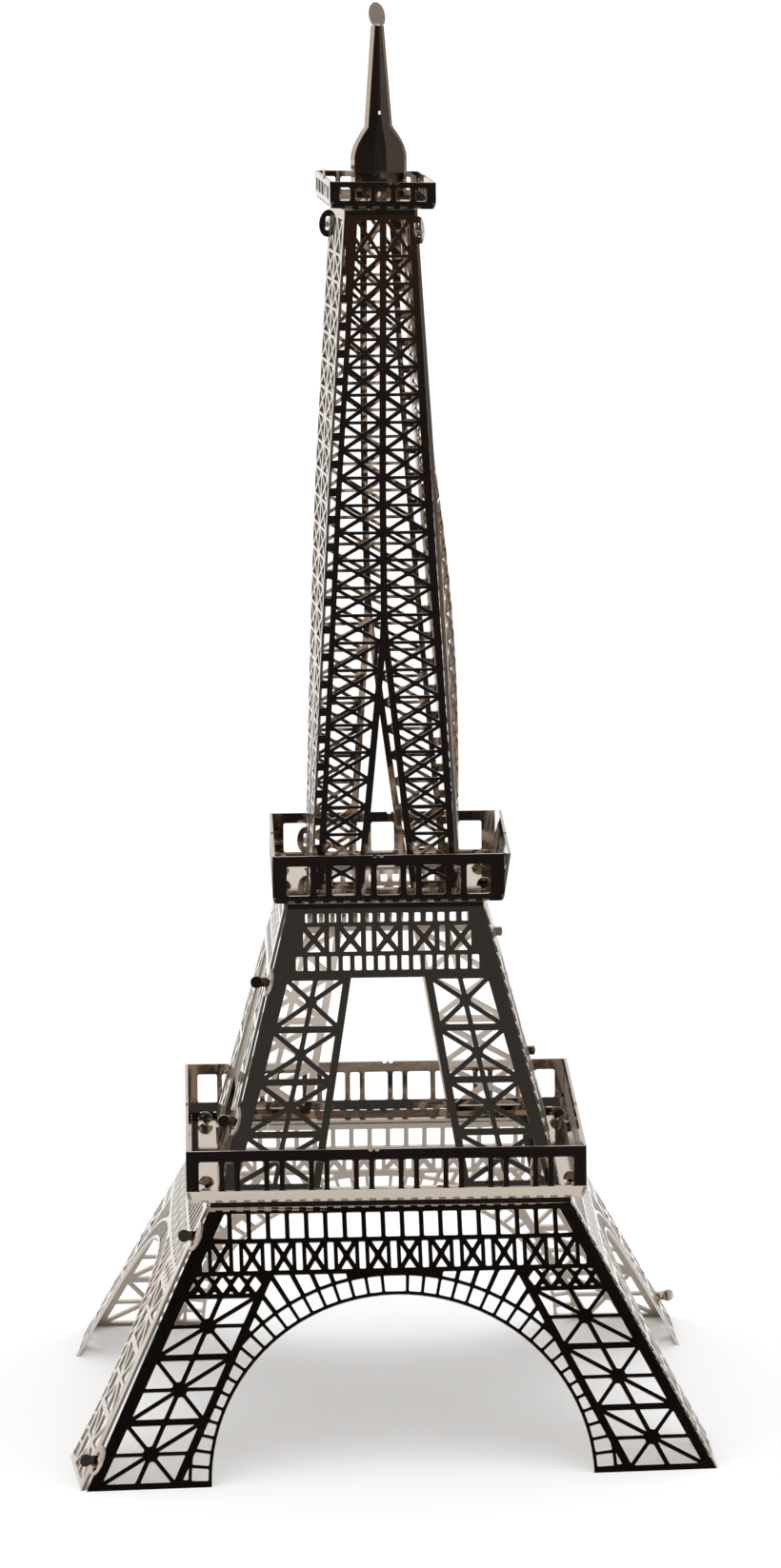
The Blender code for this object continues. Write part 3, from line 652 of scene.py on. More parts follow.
def headSteps(tab):
    # how far each step of a rounded head goes out, and how wide it is there
    start, end = math.radians(tab["from"]), math.radians(tabDrawing["headEnd"])
    count = tabDrawing["headSteps"]
    steps = [(tabDrawing["headStart"], tab["head"] * math.sin(start))]
    for i in range(count):
        before, angle = (start + (end - start) * j / count for j in (i, i + 1))
        steps.append((tab["rise"] * (math.cos(before) - math.cos(angle)), tab["head"] * math.sin(angle)))
    return steps


def growTab(bm, base, way, neck, tab):
    # a straight neck through the slot, a quick twist, then a rounded head
    edge = edgeAt(bm, *base)
    across = edge.verts[0].co - edge.verts[1].co
    across -= way * across.dot(way)
    across.normalize()
    twists = tabDrawing["twists"]
    moves = [(neck, 0.0, tab["width"])]
    moves += [(tab["turnLength"] / twists, math.radians(tab["twist"]) / twists, tab["width"])] * twists
    moves += [(step, 0.0, wide) for step, wide in headSteps(tab)]
    for length, angle, wide in moves:
        grown = bmesh.ops.extrude_edge_only(bm, edges=[edge])["geom"]
        verts = [g for g in grown if isinstance(g, bmesh.types.BMVert)]
        edge = next(g for g in grown if isinstance(g, bmesh.types.BMEdge) and set(g.verts) == set(verts))
        centre = (verts[0].co + verts[1].co) / 2
        sides = [1 if (vert.co - centre).dot(across) > 0 else -1 for vert in verts]
        across = Matrix.Rotation(angle, 3, way) @ across
        for vert, side in zip(verts, sides):
            vert.co = centre + way * length + across * (side * wide / 2)


def roundFolds(bm):
    sharp = [e for e in bm.edges if len(e.link_faces) == 2 and e.calc_face_angle(0.0) > sheet["foldTurn"]]
    bmesh.ops.bevel(bm, geom=sharp, affect="EDGES", offset=sheet["foldRound"], offset_type="OFFSET",
                    segments=3, profile=0.5, material=-1, clamp_overlap=True)


def earPlace(storey, degrees):
    # the side panel's place, with its ears bent in past their slots
    bend = math.radians(degrees)

    def place(point):
        out = point[0] - storey.half(point[1]) - ear["slotOut"]
        if out <= 0:
            return storey.side(point)
        return storey.side((point[0] - out, point[1])) + out * Vector((-math.sin(bend), math.cos(bend), 0))

    return place


def foldedSheet(storey, cuts, gate, foldSlots, cornerTab, heights, footTabs, topTabs):
    # front and right panel of a storey as one sheet, folded along their shared corner
    frontCuts, sideCuts, sideShift = cuts
    gap = sheet["seamGap"]
    top = storey.length
    tabs = cornerTabs(storey, heights, cornerTab)
    frontSide = foldEdge(storey, True, foldSlots)
    frontSide.append((gap - storey.half(top), top))
    for tab in tabs:
        frontSide += tab
    frontSide.append((gap - storey.half(0.0), 0.0))
    marks = tabMarks(footTabs)
    frontSide += [(x, 0.0) for x in marks if x < 0] + [(x + gap / 2, y) for x, y in gate]
    frontSide += [(x, 0.0) for x in marks if x > 0]

    shift = sideShift - gap / 2
    rightSide = list(reversed(foldEdge(storey, False, foldSlots)))
    rightSide += [(x + shift, y) for x, y in gate]
    rightSide.append((storey.half(0.0) - gap, 0.0))
    slots = []
    for z in sorted(heights):
        rim, slot = earOutline(storey, z, cornerTab)
        rightSide += rim
        slots.append(slot)
    rightSide.append((storey.half(top) - gap, top))
    rightSide += [(x, top) for x in reversed(tabMarks(topTabs))]

    bm = bmesh.new()
    frontCuts = [[(x + gap / 2, y) for x, y in cut] for cut in frontCuts]
    sideCuts = [[(x + shift, y) for x, y in cut] for cut in sideCuts] + slots
    joinInto(bm, flatPanel(frontSide, frontCuts, sheet["latticeRound"]), storey.front)
    joinInto(bm, flatPanel(rightSide, sideCuts, sheet["latticeRound"]),
             earPlace(storey, cornerTab["earBend"]))
    bmesh.ops.remove_doubles(bm, verts=bm.verts, dist=weld)
    bmesh.ops.recalc_face_normals(bm, faces=bm.faces)
    roundFolds(bm)

    rim = [e for e in bm.edges if e.is_boundary and all(abs(v.co.z - storey.topZ) < weld for v in e.verts)]
    raised = bmesh.ops.extrude_edge_only(bm, edges=rim)["geom"]
    lift = Vector((0, 0, sheet["flange"]))
    bmesh.ops.translate(bm, verts=[g for g in raised if isinstance(g, bmesh.types.BMVert)], vec=lift)

    throughEar = gap + ear["slotSpare"]
    halfTab = floorTab["width"] / 2
    for tab in tabs:
        growTab(bm, [storey.front(end) for end in tab], Vector((-1, 0, 0)), throughEar, cornerTab)
    for x in topTabs:
        ends = [storey.side((x + step, top)) + lift for step in (-halfTab, halfTab)]
        growTab(bm, ends, Vector((0, 0, 1)), throughFloor, floorTab)
    for x in footTabs:
        ends = [storey.front((x + step, 0.0)) for step in (-halfTab, halfTab)]
        growTab(bm, ends, Vector((0, 0, -1)), throughFloor, floorTab)
    return bm


def addMesh(name, bm, *materials):
    mesh = bpy.data.meshes.new(name)
    bm.to_mesh(mesh)
    bm.free()
    for material in materials:
        mesh.materials.append(material)
    made = bpy.data.objects.new(name, mesh)
    bpy.context.scene.collection.objects.link(made)
    return made


def finishSheet(name, bm, node, material, moves):
    # steel thickness goes inwards, and the cut edges take the etched finish
    for move in moves:
        for vert in bm.verts:
            vert.co = move(vert.co)
    bmesh.ops.scale(bm, vec=(mm, mm, mm), verts=bm.verts)
    piece = addMesh(name, bm, material, edgeSteel)
    wall = piece.modifiers.new("sheet", "SOLIDIFY")
    wall.thickness = sheet["thickness"] * mm
    wall.offset = -1.0
    wall.use_even_offset = True
    wall.use_quality_normals = True
    wall.material_offset_rim = 1
    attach(piece, "root")
    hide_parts(node)


def turnedBy(degrees):
    turn = Matrix.Rotation(math.radians(degrees), 3, "Z")
    return lambda co: turn @ co


def shifted(x):
    return lambda co: co + Vector((x, 0, 0))


def same(co):
    return co


def clamped(value):
    return min(1.0, max(0.0, value))


handwork = {
    # how far each foot is moved, in x and y
    "feet": {(-1, -1): (0.5, -2.0), (1, -1): (0.65, 2.6), (-1, 1): (0.6, 0.3), (1, 1): (-0.3, 0.3)},
    "leftBow": 1.9,  # the lower left panel bows outwards between its corners
    "leftFrom": 0.85,  # that panel is what lies beyond this share of the half width
    "leftRound": 0.6, "leftFade": 0.7,  # powers that blunt the bow across the panel and up it
    "shaftShift": (0.15, 0.35),  # the shaft stands to the right, more near its top
    "shiftFrom": 0.6,  # share of its height where that starts to grow
    "shaftLean": (0.25, 1.15),  # its back leans left, more towards its top
    "rightBow": 1.6, "rightBowEnd": 0.78,  # its right panel bows out below this share of its height
}


def stand(co):
    # the legs were bent by hand, so the feet stand a little out of square
    share = max(0.0, 1 - co.z / lowerStorey.topZ)
    half = lowerStorey.half(lowerStorey.along(min(co.z, lowerStorey.topZ)))
    u, v = co.x / half, co.y / half
    moved = co.copy()
    for (signX, signY), (dx, dy) in handwork["feet"].items():
        weight = (1 + signX * u) * (1 + signY * v) / 4 * share
        moved.x += dx * weight
        moved.y += dy * weight
    if u < -handwork["leftFrom"]:
        bow = handwork["leftBow"] * math.sin(math.pi * clamped((v + 1) / 2)) ** handwork["leftRound"]
        moved.x -= bow * share ** handwork["leftFade"]
    return moved


def leanShaft(co):
    # the shaft's folds are not square, so its left panel shows, and its right panel bows out
    half = upperStorey.half(upperStorey.along(co.z))
    share = clamped((co.z - upperStorey.footZ) / (upperStorey.topZ - upperStorey.footZ))
    depth = clamped((co.y / half + 1) / 2)
    foot, more = handwork["shaftLean"]
    lean = foot + more * (1 - (1 - share) ** 2)
    bow = handwork["rightBow"] * math.sin(math.pi * min(1.0, share / handwork["rightBowEnd"]))
    bow *= math.sin(math.pi * depth) * clamped((co.x / half + 1) / 2)
    shift, more = handwork["shaftShift"]
    shift += more * clamped((share - handwork["shiftFrom"]) / (1 - handwork["shiftFrom"]))
    return co + Vector((shift - lean * depth + bow, 0, 0))


def bothWays(x):
    return (-x, x) if x else (0.0,)


seams = {"front_right": 0.0, "back_left": 180.0}  # where a sheet is folded, and its turn in degrees
shaftSeams = {"front_left": -90.0, "back_right": 90.0}


def addStorey(name, storey, plan, cuts, gate, foldSlots, tabs, corners, settle):
    heights = (storey.footZ + plan["earRise"], storey.topZ - plan["earDrop"])
    footTabs = bothWays(plan["footTab"]) if "footTab" in plan else ()
    topTabs = bothWays(plan["topTab"])
    for (corner, degrees), cornerTab in zip(corners.items(), tabs):
        node = f"{name}_{corner}"
        bm = foldedSheet(storey, cuts, gate, foldSlots, cornerTab, heights, footTabs, topTabs)
        finishSheet(node + "_sheet", bm, node, sheetSteel, [turnedBy(degrees), settle])
    print(name, "folded:", len(cuts[0]), "cuts a panel")


# cuts of a sheet's front panel and side panel, and how far the side ones are shifted
# the shaft's sheets are turned a quarter, so that a side panel is at the front
lowerCuts = (lowerHoles(), lowerHoles(), 0.0)
middleCuts = (middleHoles(), middleHoles(), 0.0)
upperCuts = (upperHoles(upper["chord"]), upperHoles(upper["frontChord"]), upper["frontShift"])
addStorey("lower_section", lowerStorey, lower, lowerCuts, lowerGate(),
          shortFoldSlots(lowerStorey), (coinTab, coinTab), seams, stand)
addStorey("middle_section", middleStorey, middle, middleCuts, middleGate(),
          shortFoldSlots(middleStorey), (coinTab, shortTab), seams, same)
addStorey("upper_section", upperStorey, upper, upperCuts, upperGate(),
          longFoldSlots(upperStorey), (bentTab, shaftTab), shaftSeams, leanShaft)


spire = {
    "footHalf": 2.75, "bulgeHalf": 2.82, "bulgeRise": 3.7, "shoulderSteps": 10,
    "neckHalf": 1.4, "neckRise": 6.9, "topHalf": 0.65, "forward": 0.4, "ridge": 5.0,
    "rim": 0.6, "rimRound": 0.1, "rimTurn": 62.0, "rimSteps": 3,
    "holeZ": 129.35, "holeTall": 0.34, "holeWide": 0.25,
    "headWidth": 1.6, "headTall": 2.2, "headTilt": 31.0, "headSteps": 10,
    "headFrom": 0.095, "headEnd": 0.99, "headMiddle": 0.25,  # shares of its round and of its half width
    "turn": 12.0, "shift": 0.4,
}
spireFoot = floors["top_platform"] + overFloor
spireTip = cadBox[1][2] / mm
neckTop = spireTip - spire["headTall"]


def spireHalf(z):
    rise = z - spireFoot
    if rise < spire["bulgeRise"]:
        return spire["footHalf"] + (spire["bulgeHalf"] - spire["footHalf"]) * rise / spire["bulgeRise"]
    if rise < spire["neckRise"]:
        share = (rise - spire["bulgeRise"]) / (spire["neckRise"] - spire["bulgeRise"])
        return spire["neckHalf"] + (spire["bulgeHalf"] - spire["neckHalf"]) * math.cos(math.pi / 2 * share)
    share = (rise - spire["neckRise"]) / (neckTop - spireFoot - spire["neckRise"])
    return spire["neckHalf"] + (spire["topHalf"] - spire["neckHalf"]) * share


def spireFlat(half):
    turn = math.radians(spire["rimTurn"])
    return half - spire["rimRound"] * math.sin(turn) - spire["rim"] * math.cos(turn)


def spireRow(z):
    # points across the sheet: two flat halves that meet in a low ridge, between rims bent back
    half = spireHalf(z)
    flat = spireFlat(half)
    slope = math.tan(math.radians(spire["ridge"]))
    middleX = floorTab["width"] / 2 * flat / spireFlat(spire["footHalf"])
    if abs(z - spire["holeZ"]) < spire["holeTall"]:
        middleX = spire["holeWide"] / 2
    right = [(middleX, slope * (middleX - flat)), (flat, 0.0)]
    turn, bend = math.radians(spire["rimTurn"]), spire["rimRound"]
    for share in (0.5, 1.0):
        right.append((flat + bend * math.sin(turn * share), bend * (1 - math.cos(turn * share))))
    lastX, lastY = right[-1]
    right.append((lastX + spire["rim"] * math.cos(turn), lastY + spire["rim"] * math.sin(turn)))
    left = [(-x, y) for x, y in reversed(right)]
    return [Vector((x, y - spire["forward"], z)) for x, y in left + right]


def drawRow(bm, edges, places):
    grown = bmesh.ops.extrude_edge_only(bm, edges=edges)["geom"]
    verts = [g for g in grown if isinstance(g, bmesh.types.BMVert)]
    for vert, place in zip(sorted(verts, key=lambda v: v.co.x), places):
        vert.co = place
    row = [g for g in grown if isinstance(g, bmesh.types.BMEdge) and all(v in verts for v in g.verts)]
    return sorted(row, key=lambda e: e.verts[0].co.x + e.verts[1].co.x)


def addSpire():
    count, shoulder = spire["shoulderSteps"], spire["neckRise"] - spire["bulgeRise"]
    heights = [spireFoot + spire["bulgeRise"] + shoulder * i / count for i in range(count + 1)]
    holeEnds = [spire["holeZ"] - spire["holeTall"] / 2, spire["holeZ"] + spire["holeTall"] / 2]
    heights = sorted([spireFoot, *heights, *holeEnds, neckTop])
    bm = bmesh.new()
    line = [bm.verts.new(place) for place in spireRow(heights[0])]
    row = [bm.edges.new(pair) for pair in zip(line, line[1:])]
    for z in heights[1:]:
        row = drawRow(bm, row, spireRow(z))
    hole = Vector((0, -spire["forward"], spire["holeZ"]))
    pilot = min(bm.faces, key=lambda f: (f.calc_center_median() - hole).length)
    bmesh.ops.delete(bm, geom=[pilot], context="FACES")

    # the flat head grows from the front of the neck and leans back
    row = row[spire["rimSteps"]:-spire["rimSteps"]]
    lean = math.tan(math.radians(spire["headTilt"]))
    steps = spire["headSteps"]
    for i in range(1, steps + 1):
        rise = spire["headTall"] * i / steps
        share = spire["headFrom"] + (spire["headEnd"] - spire["headFrom"]) * i / steps
        half = spire["headWidth"] * math.sqrt(share * (1 - share))
        inner = half * spire["headMiddle"]
        back = lean * rise - spire["forward"]
        row = drawRow(bm, row, [Vector((x, back, neckTop + rise)) for x in (-half, -inner, inner, half)])

    halfTab = floorTab["width"] / 2
    base = [Vector((x, -spire["forward"], spireFoot)) for x in (-halfTab, halfTab)]
    growTab(bm, base, Vector((0, 0, -1)), throughFloor, floorTab)
    bmesh.ops.recalc_face_normals(bm, faces=bm.faces)
    if sum(face.normal.y * face.calc_area() for face in bm.faces) > 0:
        bmesh.ops.reverse_faces(bm, faces=bm.faces)
    moves = [turnedBy(spire["turn"]), shifted(spire["shift"])]
    finishSheet("spire_plate", bm, "spire", spireSteel, moves)


addSpire()
print("spire formed")


# walls are listed front, right, back, left, and flare is how far each leans out, in degrees
firstPlatform = {
    "node": "first_platform", "hole": 14.4, "wideCount": 9, "wide": 2.36, "narrow": 1.0, "post": 0.5,
    "sill": 1.2, "head": 4.15, "endWide": 2.0, "nick": -1.2, "bow": 0.37, "flare": (0, 0, 2, 0),
    "shift": -0.35, "trim": 0.0,
}
secondPlatform = {
    "node": "second_platform", "hole": 5.2, "wideCount": 5, "wide": 2.3, "narrow": 0.9, "post": 0.6,
    "sill": 0.75, "head": 3.7, "endWide": 2.3, "nick": -1.0, "bow": 0.15, "flare": (0, 9, 3, 0),
    "shift": 0.35, "trim": 0.1,
}
topPlatform = {
    "node": "top_platform", "hole": 0.0, "wideCount": 3, "wide": 1.5, "narrow": 0.0, "post": 0.47,
    "sill": 0.75, "head": 2.05, "endWide": 1.1, "nick": 1.0, "bow": 0.12, "flare": (0, 0, 0, 0),
    "turn": 7.0, "tilt": 2.0, "trim": 0.0,
}
trayCut = {
    "cornerGap": 0.4, "railReach": 0.38, "railLip": 0.45, "slotSpare": 0.15, "dashEnd": 0.5,
    "biteWide": 0.45, "biteDeep": 0.2, "biteSlant": 0.05, "biteGap": 0.2,
    "bowPower": 1.1, "bowCuts": (0.25, 0.5, 0.75, 0.999),  # shares of the sill where a wall may bend
}


def slotBeside(x, y, alongX):
    long = floorTab["width"] / 2 + trayCut["slotSpare"]
    outside, inside = trayCut["slotSpare"], sheet["thickness"] + trayCut["slotSpare"]
    if alongX:
        near, far = sorted((y + math.copysign(outside, y), y - math.copysign(inside, y)))
        return rectangle(x - long, x + long, near, far)
    near, far = sorted((x + math.copysign(outside, x), x - math.copysign(inside, x)))
    return rectangle(near, far, y - long, y + long)


def topTabSlots(storey, plan):
    slots = []
    for y in bothWays(plan["topTab"]):
        slots += [slotBeside(storey.topHalf, y, False), slotBeside(-storey.topHalf, -y, False)]
    return slots


def footTabSlots(storey, plan):
    slots = []
    for x in bothWays(plan["footTab"]):
        slots += [slotBeside(x, -storey.footHalf, True), slotBeside(-x, storey.footHalf, True)]
    return slots


def movedSlots(slots, z, *moves):
    # floor slots that follow what stands in them
    outlines = []
    for slot in slots:
        outline = []
        for x, y in slot:
            co = Vector((x, y, z))
            for move in moves:
                co = move(co)
            outline.append((co.x, co.y))
        outlines.append(outline)
    return outlines


def railWindows(plan):
    low, high, count = plan["sill"], plan["head"], plan["wideCount"]
    if not plan["narrow"]:
        windows = windowRow(count, plan["wide"] + plan["post"], plan["wide"], low, high)
        ends = count / 2 * plan["wide"] + (count + 1) / 2 * plan["post"] + plan["endWide"] / 2
        return windows + [upright(x, plan["endWide"], low, high) for x in (-ends, ends)]
    windows = []
    pitch = plan["wide"] + plan["narrow"] + 2 * plan["post"]
    for i in range(count):
        middleX = (i - (count - 1) / 2) * pitch
        wide = plan["endWide"] if i in (0, count - 1) else plan["wide"]
        inward = (plan["wide"] - wide) / 2 * (1 if i == 0 else -1)
        windows.append(upright(middleX + inward, wide, low, high))
        if i < count - 1:
            windows.append(upright(middleX + pitch / 2, plan["narrow"], low, high))
    return windows


def dashedEdge(run):
    # points along a folded edge, with the depth of the fold slots beside it
    points = [(-run, 0.0)]
    for start, end in dashes(trayCut["dashEnd"] - run, run - trayCut["dashEnd"]):
        points += [(start, 0.0), (start, sheet["dashDepth"]), (end, sheet["dashDepth"]), (end, 0.0)]
    return points + [(run, 0.0)]


def railOutline(plan, run, wall):
    end = run + trayCut["railReach"]
    rail = dashedEdge(run) + [(end, trayCut["railLip"]), (end, wall)]
    wide, slant, low = trayCut["biteWide"], trayCut["biteSlant"], wall - trayCut["biteDeep"]
    for left in (trayCut["biteGap"] / 2, -trayCut["biteGap"] / 2 - wide):
        start = plan["nick"] + left  # bites left where the piece was snapped from its sheet
        rail += [(start + wide, wall), (start + wide - slant, low), (start + slant, low), (start, wall)]
    return rail + [(-end, wall), (-end, trayCut["railLip"])]


def tray(plan, slots):
    lowCorner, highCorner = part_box(plan["node"])
    floorZ, wall = lowCorner.z / mm, (highCorner.z - lowCorner.z) / mm
    half = highCorner.x / mm - plan["trim"]
    run = half - trayCut["cornerGap"]
    edge = half - plan["bow"]  # the bend under the windows draws the floor's edge in
    bm = bmesh.new()
    floorEdge = []
    for quarter in range(4):
        turn = Matrix.Rotation(quarter * math.pi / 2, 2)
        floorEdge += [tuple(turn @ Vector((x, depth - edge))) for x, depth in dashedEdge(run)]
    cuts = list(slots)
    if plan["hole"]:
        cuts.append(rectangle(-plan["hole"], plan["hole"], -plan["hole"], plan["hole"]))
    floorPanel = flatPanel(floorEdge, cuts, sheet["windowRound"])
    joinInto(bm, floorPanel, lambda p: Vector((p[0], p[1], floorZ)))

    for quarter in range(4):
        turn = Matrix.Rotation(quarter * math.pi / 2, 3, "Z")
        flare = math.tan(math.radians(plan["flare"][quarter]))

        def railPoint(p):
            inward = plan["bow"] * (1 - min(1.0, p[1] / plan["sill"])) ** trayCut["bowPower"]
            outward = flare * max(0.0, p[1] - plan["sill"])
            return turn @ Vector((p[0], inward - outward - half, floorZ + p[1]))

        panel = flatPanel(railOutline(plan, run, wall), railWindows(plan), sheet["windowRound"])
        for share in trayCut["bowCuts"]:
            bmesh.ops.bisect_plane(panel, geom=[*panel.verts, *panel.edges, *panel.faces], dist=weld / 4,
                                   plane_co=(0, plan["sill"] * share, 0), plane_no=(0, 1, 0))
        joinInto(bm, panel, railPoint)
    bmesh.ops.remove_doubles(bm, verts=bm.verts, dist=weld)
    bmesh.ops.recalc_face_normals(bm, faces=bm.faces)
    return bm


def tiltTop(co):
    return co - Vector((0, 0, co.x * math.tan(math.radians(topPlatform["tilt"]))))


firstSlots = topTabSlots(lowerStorey, lower) + footTabSlots(middleStorey, middle)
secondSlots = topTabSlots(middleStorey, middle)
turnShaft = turnedBy(shaftSeams["front_left"])
secondSlots += movedSlots(footTabSlots(upperStorey, upper), upperStorey.footZ, turnShaft, leanShaft)
topSlots = movedSlots(topTabSlots(upperStorey, upper), upperStorey.topZ, turnShaft, leanShaft,
                      turnedBy(-topPlatform["turn"]))
# the spire's tab stands a little forward
spireSlot = slotBeside(0.0, -spire["forward"] - trayCut["slotSpare"], True)
topSlots += movedSlots([spireSlot], spireFoot, turnedBy(spire["turn"]),
                       shifted(spire["shift"]), turnedBy(-topPlatform["turn"]))
firstSlots = movedSlots(firstSlots, floors["first_platform"], shifted(-firstPlatform["shift"]))
secondSlots = movedSlots(secondSlots, floors["second_platform"], shifted(-secondPlatform["shift"]))
for plan, slots, moves in ((firstPlatform, firstSlots, (shifted(firstPlatform["shift"]),)),
                           (secondPlatform, secondSlots, (shifted(secondPlatform["shift"]),)),
                           (topPlatform, topSlots, (turnedBy(topPlatform["turn"]), tiltTop))):
    node = plan["node"]
    finishSheet(node + "_tray", tray(plan, slots), node, sheetSteel, moves)
print("platforms folded")


studio = {
    "floorFront": -75.0, "floorBack": 2600.0, "floorHalf": 1600.0, "floorColour": "fbfbfb",
    "cardLeft": 70.0, "cardRight": 520.0, "cardBack": 300.0, "cardTop": 260.0, "cardColour": "7d6957",
    "dome": 0.76, "lamp": 1.2, "lampSpread": 100.0, "lampHeight": 500.0,
}
# what the steel mirrors: a dark room in front of the tower, brightness behind it and above it
# pairs of numbers are where one shade goes over to the next, along x, y or z of a direction
# and the front wall's colours stand beside their heights
mirroredRoom = {
    "frontWall": ((0.05, "231f1f"), (0.55, "14110f"), (0.18, "434241"), (0.38, "434241")),
    "glow": "3f2c21", "glowRise": 0.03, "glowTall": (0.015, 0.055), "glowWide": (0.1, 0.2),
    "flank": "5a5756", "flankFrom": (0.4, 0.55),
    "bright": "f4efe8", "behind": (-0.3, 0.12), "above": (0.76, 0.88),
}


def mattBoard(name, colour):
    # uncoated paper and card: an even colour without any shine
    inputs = {"Base Color": hexColour(colour), "Roughness": 0.9, "Specular IOR Level": 0.0}
    return newMaterial(name, inputs)[0]


def addFloor():
    bm = bmesh.new()
    bmesh.ops.create_grid(bm, x_segments=1, y_segments=1, size=1.0)
    low, high = studio["floorFront"] * mm, studio["floorBack"] * mm
    bmesh.ops.scale(bm, vec=(studio["floorHalf"] * mm, (high - low) / 2, 1), verts=bm.verts)
    bmesh.ops.translate(bm, vec=(0, (high + low) / 2, 0), verts=bm.verts)
    floor = addMesh("studioFloor", bm, mattBoard("paleFloorPaper", studio["floorColour"]))


def addCard():
    # a brown card behind the tower on its right, outside the picture, which the right sides mirror
    bm = bmesh.new()
    left, right, back, top = (studio[k] * mm for k in ("cardLeft", "cardRight", "cardBack", "cardTop"))
    corners = ((left, back, 0), (right, back, 0), (right, back, top), (left, back, top))
    bm.faces.new([bm.verts.new(corner) for corner in corners])
    card = addMesh("studioCard", bm, mattBoard("brownCardBoard", studio["cardColour"]))
    card.visible_camera = card.visible_diffuse = card.visible_shadow = False  # only mirrored


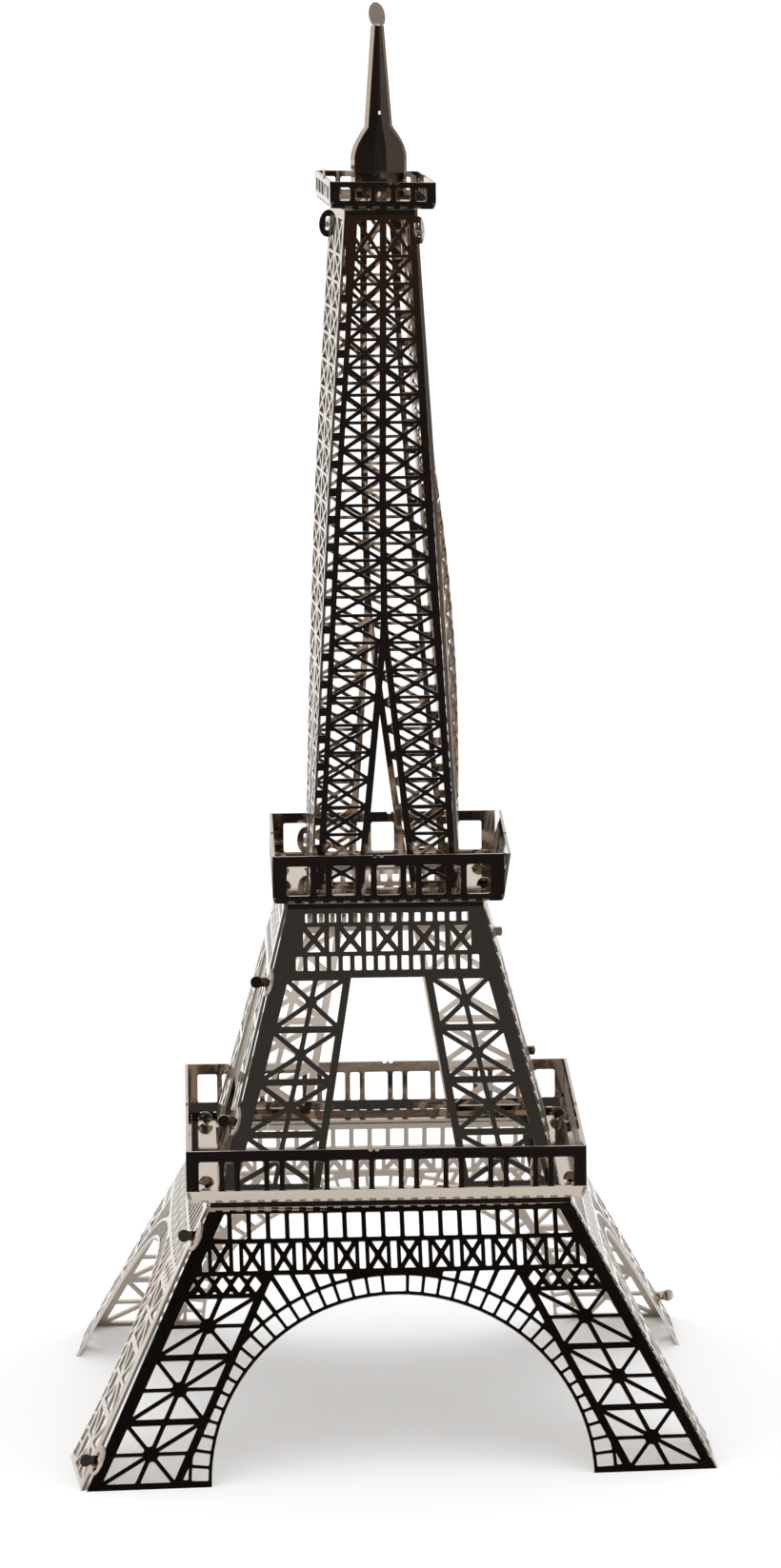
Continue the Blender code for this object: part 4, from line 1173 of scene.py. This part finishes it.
def addRoom():
    world = bpy.data.worlds.new("studioRoom")
    bpy.context.scene.world = world
    world.use_nodes = True
    tree = world.node_tree
    tree.nodes.clear()
    smooth = {"interpolation_type": "SMOOTHSTEP"}
    colours = {"data_type": "RGBA"}
    first, second, result = 6, 7, 2  # sockets of a mix of colours
    rising, falling = (0.0, 1.0), (1.0, 0.0)
    place = addNode(tree, "ShaderNodeTexCoord")
    parts = addNode(tree, "ShaderNodeSeparateXYZ", links={"Vector": (place, "Generated")})

    wall = addNode(tree, "ShaderNodeValToRGB", links={"Fac": (parts, "Z")})
    stops = wall.color_ramp.elements
    for i, (height, colour) in enumerate(mirroredRoom["frontWall"]):
        stop = stops[i] if i < 2 else stops.new(height)  # a new ramp has two stops
        stop.position, stop.color = height, hexColour(colour)

    # a brown glow near the horizon, straight ahead of the tower
    raised = addNode(tree, "ShaderNodeMath", {"operation": "SUBTRACT"}, {1: mirroredRoom["glowRise"]},
                     {0: (parts, "Z")})
    level = addNode(tree, "ShaderNodeMath", {"operation": "ABSOLUTE"}, links={0: (raised, "Value")})
    aside = addNode(tree, "ShaderNodeMath", {"operation": "ABSOLUTE"}, links={0: (parts, "X")})
    horizon = addNode(tree, "ShaderNodeMapRange", smooth, spans(mirroredRoom["glowTall"], falling),
                      {"Value": (level, "Value")})
    facing = addNode(tree, "ShaderNodeMapRange", smooth, spans(mirroredRoom["glowWide"], falling),
                     {"Value": (aside, "Value")})
    glow = addNode(tree, "ShaderNodeMath", {"operation": "MULTIPLY"},
                   links={0: (horizon, "Result"), 1: (facing, "Result")})
    front = addNode(tree, "ShaderNodeMix", colours, {second: hexColour(mirroredRoom["glow"])},
                    {"Factor": (glow, "Value"), first: (wall, "Color")})

    # a grey flank on the right, then brightness behind and above
    flank = addNode(tree, "ShaderNodeMapRange", smooth, spans(mirroredRoom["flankFrom"], rising),
                    {"Value": (parts, "X")})
    sides = addNode(tree, "ShaderNodeMix", colours, {second: hexColour(mirroredRoom["flank"])},
                    {"Factor": (flank, "Result"), first: (front, result)})
    behind = addNode(tree, "ShaderNodeMapRange", smooth, spans(mirroredRoom["behind"], rising),
                     {"Value": (parts, "Y")})
    above = addNode(tree, "ShaderNodeMapRange", smooth, spans(mirroredRoom["above"], rising),
                    {"Value": (parts, "Z")})
    lit = addNode(tree, "ShaderNodeMath", {"operation": "MAXIMUM"},
                  links={0: (behind, "Result"), 1: (above, "Result")})
    whole = addNode(tree, "ShaderNodeMix", colours, {second: hexColour(mirroredRoom["bright"])},
                    {"Factor": (lit, "Value"), first: (sides, result)})

    # only mirrors see the room: the camera sees white, and matt things a softer white
    paths = addNode(tree, "ShaderNodeLightPath")
    mirrorView = addNode(tree, "ShaderNodeBackground", links={"Color": (whole, result)})
    strength = addNode(tree, "ShaderNodeMath", {"operation": "MULTIPLY_ADD"},
                       {1: 1 - studio["dome"], 2: studio["dome"]}, {0: (paths, "Is Camera Ray")})
    plain = addNode(tree, "ShaderNodeBackground", inputs={"Color": hexColour("ffffff")},
                    links={"Strength": (strength, "Value")})
    mixed = addNode(tree, "ShaderNodeMixShader",
                    links={0: (paths, "Is Glossy Ray"), 1: (plain, 0), 2: (mirrorView, 0)})
    addNode(tree, "ShaderNodeOutputWorld", links={"Surface": (mixed, 0)})


def addOverhead():
    lamp = bpy.data.lights.new("overheadSoftLight", "SUN")
    lamp.energy = studio["lamp"]
    lamp.angle = math.radians(studio["lampSpread"])
    holder = bpy.data.objects.new("overheadSoftLight", lamp)
    holder.location = (0, 0, studio["lampHeight"] * mm)
    holder.visible_glossy = False
    bpy.context.scene.collection.objects.link(holder)


addFloor()
addCard()
addRoom()
addOverhead()
print("studio lit")


# the photo's viewing angle: degrees, millimetres, and pixels of the photo
view = {
    "imageHeight": 1647, "focalPx": 8188.1, "yaw": 1.47, "pitch": 10.58, "roll": 0.57,
    "across": -0.59, "up": 7.10, "distance": 770.4, "aim": (0.4, 0.0, 70.0),
}


def addCamera():
    yaw, pitch, roll = (math.radians(view[k]) for k in ("yaw", "pitch", "roll"))
    turn = Matrix.Rotation(-yaw, 3, "Z")
    forward = turn @ Vector((0, math.cos(pitch), -math.sin(pitch)))
    upright = turn @ Vector((0, math.sin(pitch), math.cos(pitch)))
    right = turn @ Vector((1, 0, 0))
    camRight = math.cos(roll) * right - math.sin(roll) * upright
    camUp = math.sin(roll) * right + math.cos(roll) * upright
    place = Vector(view["aim"]) - view["across"] * camRight - view["up"] * camUp
    place -= view["distance"] * forward
    data = bpy.data.cameras.new("photoCamera")
    data.sensor_fit = "VERTICAL"
    data.sensor_height = 36.0
    data.lens = view["focalPx"] / view["imageHeight"] * data.sensor_height
    data.clip_start = 0.01
    data.clip_end = 20.0
    camera = bpy.data.objects.new("photoCamera", data)
    turned = Matrix((camRight, camUp, -forward)).transposed().to_4x4()
    camera.matrix_world = Matrix.Translation(place * mm) @ turned
    bpy.context.scene.collection.objects.link(camera)
    bpy.context.scene.camera = camera


addCamera()
bpy.context.scene.view_settings.view_transform = "Standard"
print("camera set")
